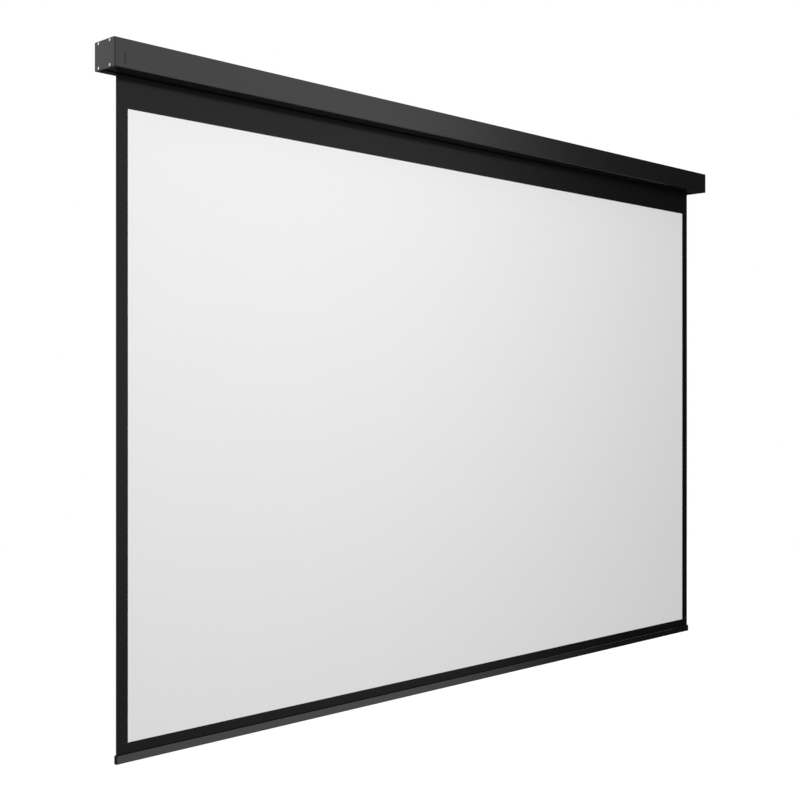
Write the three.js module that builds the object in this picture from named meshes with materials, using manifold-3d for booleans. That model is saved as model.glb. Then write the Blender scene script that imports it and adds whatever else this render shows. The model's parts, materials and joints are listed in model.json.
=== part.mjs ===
// Motorized projector screen, drawn fully lowered. Millimetres, +Z up.
// The origin is the centre of the casing's back face, on the wall. +X runs to the
// viewer's right, -Y faces the room and +Y goes into the wall.
// The motor end is on the right and the idler end on the left.

import * as THREE from "three";
import { mergeVertices } from "three/addons/utils/BufferGeometryUtils.js";
import Module from "manifold-3d";

const wasm = await Module();
wasm.setup();

// Driving dimensions of the fabric
const viewWidth = 2400;
const viewHeight = 1500;
const sideBorder = 32.7;
const topDrop = 79.9;
const bottomDrop = 24.8;
const carrierThickness = 0.4;
const surfaceThickness = 0.3;

// Driving dimensions of the casing
const casingHeight = 68;
const casingDepth = 83;
const casingWall = 1.8;
const casingEdge = 1.2;
const casingOverhang = 39.7;
const plateThickness = 3;
const plateBevel = 0.7;
const fabricSetback = 28;
const slotAhead = 10;
const slotBehind = 5.5;
const slotLip = 5;

// Driving dimensions of the roller and its fabric
const rollerRadius = 21.5;
const rollerWall = 1.5;
const keyHeight = 1;
const keyWidth = 4;
const rollPitch = 0.9;
const rollTurns = 1.75;

// Driving dimensions of the weight bar
const barHeight = 21.1;
const barDepth = 10.9;
const barInset = 1.2;
const capThickness = 2.5;

// Clearances: flat faces that bear on each other, round pieces that turn or slide
// in each other, and how far a cutting shape passes the face that it opens
const seat = 0.1;
const running = 0.3;
const overrun = 2;

// Planes and axes that follow from the driving dimensions
const topside = casingHeight / 2;
const underside = -casingHeight / 2;
const front = -casingDepth;
const middleDepth = front / 2;
const fabricWidth = viewWidth + 2 * sideBorder;
const casingLength = fabricWidth + 2 * casingOverhang;
const plateInner = casingLength / 2 - plateThickness;
const profileEnd = plateInner - seat;
const fabricY = -fabricSetback;
const surfaceTop = underside - topDrop;
const surfaceBottom = surfaceTop - viewHeight;
const barTop = surfaceBottom - bottomDrop;
const rollInnerRadius = rollerRadius + running + carrierThickness / 2;
const rollOuterRadius = rollInnerRadius + rollTurns * rollPitch;
const rollerY = fabricY - rollOuterRadius;
const rollerBore = rollerRadius - rollerWall;

// Facets round a full circle
const fineSides = 32;
const roundSides = 24;
const smallSides = 12;
const leadSides = 8;
const arcSegments = 1;
const weldTolerance = 1e-4;

// Materials
const finish = (color, roughness, metalness = 0) =>
  new THREE.MeshStandardMaterial({ color, roughness, metalness });
const satinCasing = finish(0x2c2c2d, 0.45, 0.3);
const endPaint = finish(0x3c3c3e, 0.5, 0.3);
const brightScrew = finish(0xc9cacb, 0.3, 1);
const zincPlate = finish(0xa9acae, 0.4, 0.9);
const blackCloth = finish(0x1c1c1d, 0.85);
const whiteCloth = finish(0xf0f0ef, 0.8);
const barPaint = finish(0x2d2d2e, 0.45, 0.3);
const blackPlastic = finish(0x151516, 0.55);
const greyPlastic = finish(0x5c5f62, 0.55);
const whiteNylon = finish(0xe6e3da, 0.5);
const millAluminium = finish(0xb9bcbe, 0.35, 0.9);
const steel = finish(0x8f9396, 0.35, 0.95);
const springSteel = finish(0x74787b, 0.3, 0.95);
const smokedPlastic = finish(0x0d0d0f, 0.2);
const boardGreen = finish(0x1f5a3a, 0.6);
const terminalGreen = finish(0x2f8a4c, 0.5);
const relayBlue = finish(0x24508f, 0.45);
const cableGrey = finish(0x2a2a2c, 0.6);

const screen = new THREE.Group();

// Solids and meshes

// A closed mesh as a solid that can be cut and joined.
function solidOf(geometry) {
  const bare = geometry.clone();
  bare.deleteAttribute("normal");
  bare.deleteAttribute("uv");
  const merged = mergeVertices(bare, weldTolerance);
  return new wasm.Manifold(new wasm.Mesh({
    numProp: 3,
    vertProperties: merged.attributes.position.array,
    triVerts: new Uint32Array(merged.index.array),
  }));
}

function geometryOf(solid) {
  const { vertProperties, triVerts } = solid.getMesh();
  const geometry = new THREE.BufferGeometry();
  geometry.setAttribute("position", new THREE.BufferAttribute(vertProperties, 3));
  geometry.setIndex(new THREE.BufferAttribute(triVerts, 1));
  geometry.computeVertexNormals();
  return geometry;
}

// One named piece of the screen, in the group that carries it.
function piece(name, solid, material, parent = screen) {
  const mesh = new THREE.Mesh(geometryOf(solid), material);
  mesh.name = name;
  parent.add(mesh);
  return mesh;
}

const ordered = (a, b) => [Math.min(a, b), Math.max(a, b)];
const joined = (solids) => solids.reduce((whole, next) => whole.add(next));

function block([x0, x1], [y0, y1], [z0, z1]) {
  return solidOf(new THREE.BoxGeometry(x1 - x0, y1 - y0, z1 - z0)
    .translate((x0 + x1) / 2, (y0 + y1) / 2, (z0 + z1) / 2));
}

function rodX(radius, [x0, x1], y = 0, z = 0, sides = roundSides) {
  return solidOf(new THREE.CylinderGeometry(radius, radius, x1 - x0, sides)
    .rotateZ(-Math.PI / 2)
    .translate((x0 + x1) / 2, y, z));
}

function rodZ(radius, [z0, z1], x = 0, y = 0, sides = smallSides) {
  return solidOf(new THREE.CylinderGeometry(radius, radius, z1 - z0, sides)
    .rotateX(Math.PI / 2)
    .translate(x, y, (z0 + z1) / 2));
}

// An outline drawn in (y, z), extruded along X, with its end edges bevelled if asked.
const outlineAlongX = new THREE.Matrix4().makeBasis(
  new THREE.Vector3(0, 1, 0), new THREE.Vector3(0, 0, 1), new THREE.Vector3(1, 0, 0));

function extrudeX(outline, [x0, x1], bevel = 0) {
  const geometry = new THREE.ExtrudeGeometry(outline, {
    depth: x1 - x0 - 2 * bevel,
    steps: 1,
    curveSegments: arcSegments,
    bevelEnabled: bevel > 0,
    bevelThickness: bevel,
    bevelSize: bevel,
    bevelOffset: -bevel,
    bevelSegments: 2,
  });
  return solidOf(geometry.translate(0, 0, x0 + bevel).applyMatrix4(outlineAlongX));
}

// A profile of [x, radius] points turned about X. A profile that isn't on the axis
// at both ends closes on itself as a ring. Side -1 mirrors it to the left end.
function turned(profile, sides = roundSides, side = 1) {
  const points = profile.map(([x, radius]) => new THREE.Vector2(radius, side * x));
  if (profile[0][1] > 0) points.push(points[0].clone());
  if (THREE.ShapeUtils.area(points) < 0) points.reverse();
  return solidOf(new THREE.LatheGeometry(points, sides).rotateZ(-Math.PI / 2));
}

function roundedRectangle([y0, y1], [z0, z1], radius) {
  const shape = new THREE.Shape();
  shape.absarc(y1 - radius, z1 - radius, radius, 0, Math.PI / 2);
  shape.absarc(y0 + radius, z1 - radius, radius, Math.PI / 2, Math.PI);
  shape.absarc(y0 + radius, z0 + radius, radius, Math.PI, 3 * Math.PI / 2);
  shape.absarc(y1 - radius, z0 + radius, radius, 3 * Math.PI / 2, 2 * Math.PI);
  return shape;
}

function regularPolygon(sides, acrossFlats) {
  const corner = acrossFlats / 2 / Math.cos(Math.PI / sides);
  const angles = Array.from({ length: sides }, (_, i) => 2 * Math.PI * i / sides);
  return new THREE.Shape(angles.map(
    (angle) => new THREE.Vector2(corner * Math.cos(angle), corner * Math.sin(angle))));
}

// End screws: their pattern on the end plates, seen from the side
const screwSpacing = 47.8;
const screwTopInset = 5.9;
const screwBottomInset = 5;
const screwRadius = 1.9;
const screwLength = 12;
const screwHeadRadius = 3.2;
const screwHeadHeight = 1.6;
const screwRecessWidth = 0.9;
const screwRecessDepth = 0.9;
const portWall = 1.3;

const portBore = screwRadius + running;
const portRadius = portBore + portWall;
const upperScrewZ = topside - screwTopInset;
const lowerScrewZ = underside + screwBottomInset;
const screwPlaces = {
  front_top: [middleDepth - screwSpacing / 2, upperScrewZ],
  rear_top: [middleDepth + screwSpacing / 2, upperScrewZ],
  front_bottom: [middleDepth - screwSpacing / 2, lowerScrewZ],
  rear_bottom: [middleDepth + screwSpacing / 2, lowerScrewZ],
};

// Mounting grooves in the casing's top and back, for sliding T-nuts
const grooveMouth = 8;
const grooveWidth = 13;
const grooveDepth = 6;
const topGrooveSetback = 31;
const rearGrooveHeight = 14;

// Infrared receiver behind a narrow window near the casing's left end
const windowInset = 29.4;
const windowWidth = 4;
const windowHeight = 27.3;
const windowDrop = 32.6;

const windowX = -casingLength / 2 + windowInset;
const windowTop = topside - windowDrop;
const windowBottom = windowTop - windowHeight;

// Stack of the motor end, from the end plate inwards
const bracketThickness = 2.5;
const hubLength = 4;
const headLength = 16;
const headRadius = 18;
const spigotLength = 10;
const motorTubeRadius = 17.5;
const motorTubeWall = 1;
const limitUnitLength = 62;
const motorUnitLength = 180;
const gearboxLength = 104;
const outputStageLength = 118;

const bracketBack = plateInner - seat;
const bracketFront = bracketBack - bracketThickness;
const hubFace = bracketFront - hubLength;
const headOuter = hubFace - running;
const headInner = headOuter - headLength;
const limitUnitEnd = headInner - spigotLength - seat;
const motorUnitEnd = limitUnitEnd - limitUnitLength - seat;
const gearboxEnd = motorUnitEnd - motorUnitLength - seat;
const outputStageEnd = gearboxEnd - gearboxLength - seat;
const motorTubeInnerEnd = outputStageEnd - outputStageLength;
const motorBore = motorTubeRadius - motorTubeWall;
const innerRadius = motorBore - running;

// Limit adjusters in the underside of the motor head
const adjusterRadius = 3;
const adjusterDepth = 7;
const adjusterSpacing = 8;
const accessRadius = 3.6;

const adjusterXs = [-1, 1].map((side) => headOuter - headLength / 2 + side * adjusterSpacing / 2);

// Casing: one aluminium extrusion with screw ports, mounting grooves and a fabric slot
const slotFront = fabricY - slotAhead;
const slotRear = fabricY + slotBehind;

function groove(mouthSpan, floorSpan, alongTop) {
  const length = [-profileEnd - overrun, profileEnd + overrun];
  const span = (width, centre) => [centre - width / 2, centre + width / 2];
  const centre = alongTop ? -topGrooveSetback : rearGrooveHeight;
  const face = alongTop ? topside : 0;
  const mouth = [face - casingWall - mouthSpan, face + overrun];
  const floor = [face - floorSpan, face - casingWall];
  return alongTop
    ? block(length, span(grooveMouth, centre), mouth).add(
      block(length, span(grooveWidth, centre), floor))
    : block(length, mouth, span(grooveMouth, centre)).add(
      block(length, floor, span(grooveWidth, centre)));
}

function grooveHousing(alongTop) {
  const length = [-profileEnd, profileEnd];
  const width = grooveWidth + 2 * casingWall;
  const centre = alongTop ? -topGrooveSetback : rearGrooveHeight;
  const across = [centre - width / 2, centre + width / 2];
  return alongTop
    ? block(length, across, [topside - grooveDepth - casingWall, topside - casingWall / 2])
    : block(length, [-grooveDepth - casingWall, -casingWall / 2], across);
}

function casingProfile() {
  const length = [-profileEnd, profileEnd];
  const past = [-profileEnd - overrun, profileEnd + overrun];
  const shell = extrudeX(roundedRectangle([front, 0], [underside, topside], casingEdge), length)
    .subtract(block(past, [front + casingWall, -casingWall],
      [underside + casingWall, topside - casingWall]));
  const lips = [slotFront - casingWall, slotRear].map((lip) =>
    block(length, [lip, lip + casingWall], [underside + casingWall / 2, underside + slotLip]));
  const ports = Object.values(screwPlaces).map(([y, z]) =>
    rodX(portRadius, length, y, z, smallSides));
  const webs = Object.values(screwPlaces).map(([y, z]) =>
    block(length, [y - casingWall / 2, y + casingWall / 2],
      ordered(z, Math.sign(z) * (topside - casingWall / 2))));
  const bores = Object.values(screwPlaces).map(([y, z]) =>
    rodX(portBore, past, y, z, smallSides));
  const floorCut = [underside - overrun, underside + casingWall + overrun];
  const slot = block(past, [slotFront, slotRear], floorCut);
  const windowSlot = block([windowX - windowWidth / 2, windowX + windowWidth / 2],
    [front - overrun, front + casingWall + overrun], [windowBottom, windowTop]);
  const accessHoles = adjusterXs.map((x) => rodZ(accessRadius, floorCut, x, rollerY));
  return joined([shell, ...lips, ...ports, ...webs, grooveHousing(true), grooveHousing(false)])
    .subtract(joined([slot, ...bores, windowSlot, ...accessHoles]))
    .subtract(groove(seat, grooveDepth, true))
    .subtract(groove(seat, grooveDepth, false));
}

piece("casing_profile", casingProfile(), satinCasing);

// End plates, with welded studs that carry the roller brackets
const studRadius = 2;
const studLength = 8;
const studSpreadY = 16;
const studSpreadZ = 16.5;
const glandRadius = 6;
const glandSetback = 14;
const glandDrop = 12;

const studPlaces = [-1, 1].map((sign) => [rollerY + sign * studSpreadY, sign * studSpreadZ]);
const glandHole = glandRadius + running;

function endPlate(side) {
  const outer = side * casingLength / 2;
  const inner = side * plateInner;
  const through = ordered(inner - side * overrun, outer + side * overrun);
  const plate = extrudeX(roundedRectangle([front, 0], [underside, topside], casingEdge),
    ordered(inner, outer), plateBevel);
  const studs = studPlaces.map(([y, z]) => rodX(studRadius,
    ordered(inner - side * studLength, inner + side * plateThickness / 2), y, z, smallSides));
  const holes = Object.values(screwPlaces).map(([y, z]) =>
    rodX(portBore, through, y, z, smallSides));
  if (side > 0) holes.push(rodX(glandHole, through, -glandSetback, -glandDrop));
  return joined([plate, ...studs]).subtract(joined(holes));
}

piece("end_plate_left", endPlate(-1), endPaint);
piece("end_plate_right", endPlate(1), endPaint);

// Pan-head screw along X: its head bears on the end plate and its shank runs inwards.
// The head is a flattened dome with a cross recess.
function endScrew(side, [y, z]) {
  const under = casingLength / 2 + seat;
  const top = under + screwHeadHeight;
  const domeShares = [[0.4, 1], [1, 0.7]];
  const dome = domeShares.map(([height, radius]) =>
    [under + height * screwHeadHeight, radius * screwHeadRadius]);
  const body = turned([
    [under - screwLength, 0],
    [under - screwLength, screwRadius],
    [under, screwRadius],
    [under, screwHeadRadius],
    ...dome,
    [top, 0],
  ], smallSides, side);
  const depth = ordered(side * (top - screwRecessDepth), side * (top + overrun));
  const half = screwRecessWidth / 2;
  const reach = screwHeadRadius / 2;
  const recess = block(depth, [-half, half], [-reach, reach])
    .add(block(depth, [-reach, reach], [-half, half]));
  return body.subtract(recess).translate(0, y, z);
}

for (const [place, centre] of Object.entries(screwPlaces)) {
  piece("end_screw_left_" + place, endScrew(-1, centre), brightScrew);
  piece("end_screw_right_" + place, endScrew(1, centre), brightScrew);
}

// Roller axis: everything in this group is drawn about it
const rollerAxis = new THREE.Group();
rollerAxis.position.y = rollerY;
screen.add(rollerAxis);

// Brackets on the end plates: the motor's has a square socket, the idler's a round hub
const bracketWidth = 42;
const bracketHeight = 42;
const bracketCorner = 4;
const bossWidth = 12;
const hubWall = 4;
const bushRadius = 6;

function bracket(side, hub, opening) {
  const plate = extrudeX(roundedRectangle([-bracketWidth / 2, bracketWidth / 2],
    [-bracketHeight / 2, bracketHeight / 2], bracketCorner),
  ordered(side * bracketFront, side * bracketBack));
  const through = ordered(side * (hubFace - overrun), side * (bracketBack + overrun));
  const holes = studPlaces.map(([y, z]) =>
    rodX(studRadius + running, through, y - rollerY, z, smallSides));
  return plate.add(hub(ordered(side * hubFace, side * (bracketBack - bracketThickness / 2))))
    .subtract(joined([opening(through), ...holes]));
}

function squareRod(width, span) {
  return block(span, [-width / 2, width / 2], [-width / 2, width / 2]);
}

piece("motor_bracket", bracket(1,
  (span) => squareRod(bossWidth + 2 * (running + hubWall), span),
  (span) => squareRod(bossWidth + 2 * running, span)), zincPlate, rollerAxis);
piece("idler_bracket", bracket(-1,
  (span) => rodX(bushRadius + running + hubWall, span),
  (span) => rodX(bushRadius + running, span)), zincPlate, rollerAxis);

// Hexagon nuts that hold the brackets on their studs
const nutFlats = 7;
const nutThickness = 3.2;

function bracketNut(side, [y, z]) {
  const face = bracketFront - seat;
  const body = extrudeX(regularPolygon(6, nutFlats),
    ordered(side * (face - nutThickness), side * face));
  const hole = rodX(studRadius + running,
    ordered(side * (face - nutThickness - overrun), side * (face + overrun)), 0, 0, smallSides);
  return body.subtract(hole).translate(0, y - rollerY, z);
}

studPlaces.forEach((centre, i) => {
  const place = i ? "upper" : "lower";
  piece("bracket_nut_left_" + place, bracketNut(-1, centre), zincPlate, rollerAxis);
  piece("bracket_nut_right_" + place, bracketNut(1, centre), zincPlate, rollerAxis);
});

// Motor head: a moulded cap whose square boss sits in the motor bracket
const bossEndGap = 1;

function motorHead() {
  const disc = turned([
    [headInner - spigotLength, 0],
    [headInner - spigotLength, innerRadius],
    [headInner, innerRadius],
    [headInner, headRadius],
    [headOuter, headRadius],
    [headOuter, 0],
  ], fineSides);
  const boss = squareRod(bossWidth, [headOuter - overrun, plateInner - bossEndGap]);
  const sockets = adjusterXs.map((x) => rodZ(adjusterRadius + running,
    [-headRadius - overrun, -headRadius + adjusterDepth], x));
  return disc.add(boss).subtract(joined(sockets));
}

piece("motor_head", motorHead(), blackPlastic, rollerAxis);

// Limit adjusters: small plugs with a hexagon socket, turned with a key from below
const adjusterSocketFlats = 3;
const adjusterSocketDepth = 4;

function limitAdjuster(x) {
  const top = -headRadius + adjusterDepth - running;
  const bottom = -headRadius;
  const socket = new THREE.ExtrudeGeometry(regularPolygon(6, adjusterSocketFlats), {
    depth: adjusterSocketDepth + overrun,
    bevelEnabled: false,
  }).translate(x, 0, bottom - overrun);
  return rodZ(adjusterRadius, [bottom, top], x).subtract(solidOf(socket));
}

piece("limit_adjuster_down", limitAdjuster(adjusterXs[0]), whiteNylon, rollerAxis);
piece("limit_adjuster_up", limitAdjuster(adjusterXs[1]), whiteNylon, rollerAxis);

// Motor tube and what is stacked in it
piece("motor_tube", turned([
  [motorTubeInnerEnd, motorBore],
  [motorTubeInnerEnd, motorTubeRadius],
  [headInner - seat, motorTubeRadius],
  [headInner - seat, motorBore],
], fineSides), millAluminium, rollerAxis);

const limitUnitNeck = 12;
const limitNeckShare = 0.6;

piece("limit_switch_unit", turned([
  [limitUnitEnd - limitUnitLength, 0],
  [limitUnitEnd - limitUnitLength, limitNeckShare * innerRadius],
  [limitUnitEnd - limitUnitLength + limitUnitNeck, limitNeckShare * innerRadius],
  [limitUnitEnd - limitUnitLength + limitUnitNeck, innerRadius],
  [limitUnitEnd, innerRadius],
  [limitUnitEnd, 0],
], roundSides), greyPlastic, rollerAxis);

const motorBellLength = 22;
const motorBellShare = 0.9;

piece("motor_unit", turned([
  [motorUnitEnd - motorUnitLength, 0],
  [motorUnitEnd - motorUnitLength, motorBellShare * innerRadius],
  [motorUnitEnd - motorUnitLength + motorBellLength, motorBellShare * innerRadius],
  [motorUnitEnd - motorUnitLength + motorBellLength, innerRadius],
  [motorUnitEnd - motorBellLength, innerRadius],
  [motorUnitEnd - motorBellLength, motorBellShare * innerRadius],
  [motorUnitEnd, motorBellShare * innerRadius],
  [motorUnitEnd, 0],
], roundSides), steel, rollerAxis);

// Output stage: a planetary gear train between the sealed gearbox and the roller.
// Tooth counts let three planets sit at even angles: the ring has sun + 2 x planet teeth.
const gearModule = 0.65;
const sunTeeth = 12;
const planetTeeth = 15;
const planetCount = 3;
const pressureAngle = 25 * Math.PI / 180;
const addendumShare = 1;
const dedendumShare = 1.25;
const gearPlay = 0.08;
const gearFace = 16;
const gearSetback = 4;
const toothBandLength = 30;
const sunShaftRadius = 2;
const sunSocketDepth = 8;
const planetPinRadius = 1.5;
const carrierDisc = 8;
const outputShaftRadius = 6;
const outputBearing = 12;

const ringTeeth = sunTeeth + 2 * planetTeeth;
const planetOrbit = gearModule * (sunTeeth + planetTeeth) / 2;
const gearEnd = outputStageEnd - gearSetback;
const gearStart = gearEnd - gearFace;
const carrierEnd = gearStart - running;
const carrierStart = carrierEnd - carrierDisc;
const ringTipRadius = gearModule * (ringTeeth / 2 - addendumShare);

// Outline of a gear with involute flanks, one tooth pointing along +Y.
// At radius r the half tooth angle is half of (thickness / pitch radius), plus the
// involute of the pressure angle, less the involute of the angle at r.
function gearOutline(teeth, tipRadius, rootRadius, play) {
  const pitchRadius = gearModule * teeth / 2;
  const baseRadius = pitchRadius * Math.cos(pressureAngle);
  const involute = (angle) => Math.tan(angle) - angle;
  const thickness = Math.PI * gearModule / 2 - play;
  const flankStart = Math.max(baseRadius, rootRadius);
  const halfAngle = (r) => thickness / 2 / pitchRadius + involute(pressureAngle)
    - involute(Math.acos(Math.min(1, baseRadius / r)));
  const flankShares = [0, 0.45, 1];
  const flank = flankShares.map((share) => {
    const r = flankStart + share * (tipRadius - flankStart);
    return [r, halfAngle(r)];
  });
  const root = rootRadius < flankStart ? [[rootRadius, halfAngle(flankStart)]] : [];
  const rising = [...root, ...flank];
  const tooth = [
    ...rising.map(([r, half]) => [r, -half]),
    ...rising.reverse().map(([r, half]) => [r, half]),
  ];
  const outline = Array.from({ length: teeth }, (_, i) => tooth.map(([r, offset]) => {
    const angle = 2 * Math.PI * i / teeth + offset;
    return new THREE.Vector2(r * Math.cos(angle), r * Math.sin(angle));
  }));
  return new THREE.Shape(outline.flat());
}

function spurGear(teeth, span) {
  const tip = gearModule * (teeth / 2 + addendumShare);
  const root = gearModule * (teeth / 2 - dedendumShare);
  return extrudeX(gearOutline(teeth, tip, root, gearPlay), span);
}

function gearbox() {
  const start = gearboxEnd - gearboxLength;
  const body = turned([[start, 0], [start, innerRadius], [gearboxEnd, innerRadius],
    [gearboxEnd, 0]], roundSides);
  return body.subtract(rodX(sunShaftRadius + running,
    [start - overrun, start + sunSocketDepth + running], 0, 0, smallSides));
}

piece("gearbox_stages", gearbox(), steel, rollerAxis);

function sunGear() {
  const shaft = rodX(sunShaftRadius,
    [gearStart, gearboxEnd - gearboxLength + sunSocketDepth], 0, 0, smallSides);
  return spurGear(sunTeeth, [gearStart, gearEnd]).add(shaft);
}

piece("sun_gear", sunGear(), steel, rollerAxis);

// The ring gear is cut in the end of the output housing: its tooth spaces have the
// shape of an outer gear's teeth, and its far end is the output shaft's bearing.
function ringGear() {
  const spaces = gearOutline(ringTeeth,
    gearModule * (ringTeeth / 2 + dedendumShare), ringTipRadius, -gearPlay);
  const bandStart = outputStageEnd - toothBandLength;
  const hollowRadius = (innerRadius + ringTipRadius) / 2;
  const body = turned([[motorTubeInnerEnd, 0], [motorTubeInnerEnd, innerRadius],
    [outputStageEnd, innerRadius], [outputStageEnd, 0]], fineSides);
  const hollow = rodX(hollowRadius, [motorTubeInnerEnd + outputBearing, bandStart]);
  const bearing = rodX(outputShaftRadius + running,
    [motorTubeInnerEnd - overrun, bandStart]);
  const teeth = extrudeX(spaces, [bandStart - overrun, outputStageEnd + overrun]);
  return body.subtract(joined([hollow, bearing])).subtract(teeth);
}

piece("ring_gear", ringGear(), steel, rollerAxis);

const planetAngles = Array.from({ length: planetCount }, (_, k) => 2 * Math.PI * k / planetCount);

function planetGear() {
  const bore = rodX(planetPinRadius + running,
    [gearStart - overrun, gearEnd + overrun], 0, 0, smallSides);
  return spurGear(planetTeeth, [gearStart, gearEnd]).subtract(bore);
}

// Each planet is drawn on its own axis, with a tooth pointing straight out.
planetAngles.forEach((angle, k) => {
  const orbit = new THREE.Group();
  orbit.rotation.x = angle;
  rollerAxis.add(orbit);
  piece("planet_gear_" + (k + 1), planetGear(), steel, orbit).position.y = planetOrbit;
});

// Drive wheel: keyed to the roller tube and to the planet carrier's shaft
const driveGap = 4;
const driveLength = 20;
const driveFlatShare = 0.75;

const driveEnd = motorTubeInnerEnd - driveGap;
const driveStart = driveEnd - driveLength;

function planetCarrier() {
  const disc = rodX(ringTipRadius - running, [carrierStart, carrierEnd]);
  const shaft = rodX(outputShaftRadius, [driveStart, carrierEnd - running]);
  const flat = block([driveStart - overrun, driveEnd + running],
    [-outputShaftRadius, outputShaftRadius],
    [driveFlatShare * outputShaftRadius, outputShaftRadius + overrun]);
  const pins = planetAngles.map((angle) => rodX(planetPinRadius,
    [carrierStart + running, gearEnd + running],
    planetOrbit * Math.cos(angle), planetOrbit * Math.sin(angle), smallSides));
  return joined([disc, shaft, ...pins]).subtract(flat);
}

piece("planet_carrier", planetCarrier(), steel, rollerAxis);

// The notch that lets a wheel pass over the key inside the roller tube
function keyNotch(span) {
  const half = keyWidth / 2 + running;
  return block(span, [-half, half], [rollerBore - keyHeight - running, rollerBore + overrun]);
}

function driveWheel() {
  const span = [driveStart, driveEnd];
  const past = [driveStart - overrun, driveEnd + overrun];
  const shaftHole = rodX(outputShaftRadius + running, past).subtract(
    block([past[0] - overrun, past[1] + overrun], [-outputShaftRadius * 2, outputShaftRadius * 2],
      [driveFlatShare * outputShaftRadius + running, outputShaftRadius * 2]));
  return rodX(rollerBore - running, span, 0, 0, fineSides)
    .subtract(shaftHole)
    .subtract(keyNotch(past));
}

piece("drive_wheel", driveWheel(), blackPlastic, rollerAxis);

// Crown wheel: runs on the motor tube and carries the roller's motor end
const crownGap = 3;
const crownFlange = 2.5;
const crownLength = 18;

const crownOuter = headInner - crownGap;
const rollerRight = crownOuter - crownFlange - seat;

function crownWheel() {
  const sleeveStart = rollerRight - crownLength;
  const ring = turned([
    [sleeveStart, motorTubeRadius + running],
    [sleeveStart, rollerBore - running],
    [rollerRight + seat, rollerBore - running],
    [rollerRight + seat, rollerRadius],
    [crownOuter, rollerRadius],
    [crownOuter, motorTubeRadius + running],
  ], fineSides);
  return ring.subtract(keyNotch([sleeveStart - overrun, rollerRight]));
}

piece("crown_wheel", crownWheel(), blackPlastic, rollerAxis);

// Idler end: a bush in the bracket, and a sprung pin in a plug in the roller.
// Distances here are from the casing's middle, mirrored to the left.
const bushFlange = 1.5;
const bushFlangeRadius = 9;
const pinRadius = 4;
const pinReach = 7;
const plugGap = 2.5;
const plugFlange = 2.9;
const plugFrontWall = 20;
const springRoom = 32;
const plugBackWall = 3;
const springRoomRadius = 8;
const pinCollar = 4;
const pinCollarRadius = 7;
const stemRadius = 3;
const springWire = 0.6;
const springRadius = 5.5;
const springTurns = 7;

const bushFace = hubFace - seat - bushFlange;
const plugOuter = bushFace - plugGap;
const rollerLeft = plugOuter - plugFlange - seat;
const springRoomOuter = plugOuter - plugFrontWall;
const springRoomInner = springRoomOuter - springRoom;
const plugInner = springRoomInner - plugBackWall;
const pinTip = bushFace + pinReach;
const collarInner = springRoomOuter - seat - pinCollar;

piece("idler_bush", turned([
  [bushFace, pinRadius + running],
  [bushFace, bushFlangeRadius],
  [hubFace - seat, bushFlangeRadius],
  [hubFace - seat, bushRadius],
  [bracketBack, bushRadius],
  [bracketBack, pinRadius + running],
], roundSides, -1), whiteNylon, rollerAxis);

function idlerPlug() {
  const body = turned([
    [plugOuter, pinRadius + running],
    [plugOuter, rollerRadius],
    [plugOuter - plugFlange, rollerRadius],
    [plugOuter - plugFlange, rollerBore - running],
    [plugInner, rollerBore - running],
    [plugInner, stemRadius + running],
    [springRoomInner, stemRadius + running],
    [springRoomInner, springRoomRadius],
    [springRoomOuter, springRoomRadius],
    [springRoomOuter, pinRadius + running],
  ], fineSides, -1);
  return body.subtract(keyNotch(ordered(-rollerLeft, -plugInner + overrun)));
}

piece("idler_plug", idlerPlug(), blackPlastic, rollerAxis);

piece("idler_pin", turned([
  [pinTip, 0],
  [pinTip, pinRadius - running],
  [pinTip - running, pinRadius],
  [springRoomOuter - seat, pinRadius],
  [springRoomOuter - seat, pinCollarRadius],
  [collarInner, pinCollarRadius],
  [collarInner, stemRadius],
  [springRoomInner - plugBackWall / 2, stemRadius],
  [springRoomInner - plugBackWall / 2, 0],
], roundSides, -1), steel, rollerAxis);

// Open coil spring along X, as a helix of round wire
class Helix extends THREE.Curve {
  constructor(start, length, radius, turns) {
    super();
    Object.assign(this, { start, length, radius, turns });
  }

  getPoint(t, target = new THREE.Vector3()) {
    const angle = 2 * Math.PI * this.turns * t;
    return target.set(this.start + this.length * t,
      this.radius * Math.cos(angle), this.radius * Math.sin(angle));
  }
}

function tubeAlong(path, radius, sides, steps) {
  const section = new THREE.Shape().absarc(0, 0, radius, 0, 2 * Math.PI);
  return solidOf(new THREE.ExtrudeGeometry(section, {
    curveSegments: sides / 2, steps, extrudePath: path }));
}

const springEndGap = seat + springWire;
const springStart = -collarInner + springEndGap;
const springLength = collarInner - springRoomInner - 2 * springEndGap;
const springSides = 6;
const springStepsPerTurn = 8;

piece("idler_spring", tubeAlong(
  new Helix(springStart, springLength, springRadius, springTurns),
  springWire, springSides, springTurns * springStepsPerTurn), springSteel, rollerAxis);

// Roller tube, with the key inside it that its wheels and plug slide over
function rollerTube() {
  const span = [-rollerLeft, rollerRight];
  const past = [-rollerLeft - overrun, rollerRight + overrun];
  const key = block(span, [-keyWidth / 2, keyWidth / 2],
    [rollerBore - keyHeight, rollerBore + rollerWall / 2]);
  return rodX(rollerRadius, span, 0, 0, fineSides)
    .subtract(rodX(rollerBore, past, 0, 0, fineSides))
    .add(key);
}

piece("roller_tube", rollerTube(), millAluminium, rollerAxis);

// Turns of fabric that stay on the roller: a spiral that ends where the fabric drops.
// The mid radius falls by one pitch a turn, inwards from the drop line.
const rollStepsPerTurn = 24;

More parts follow.
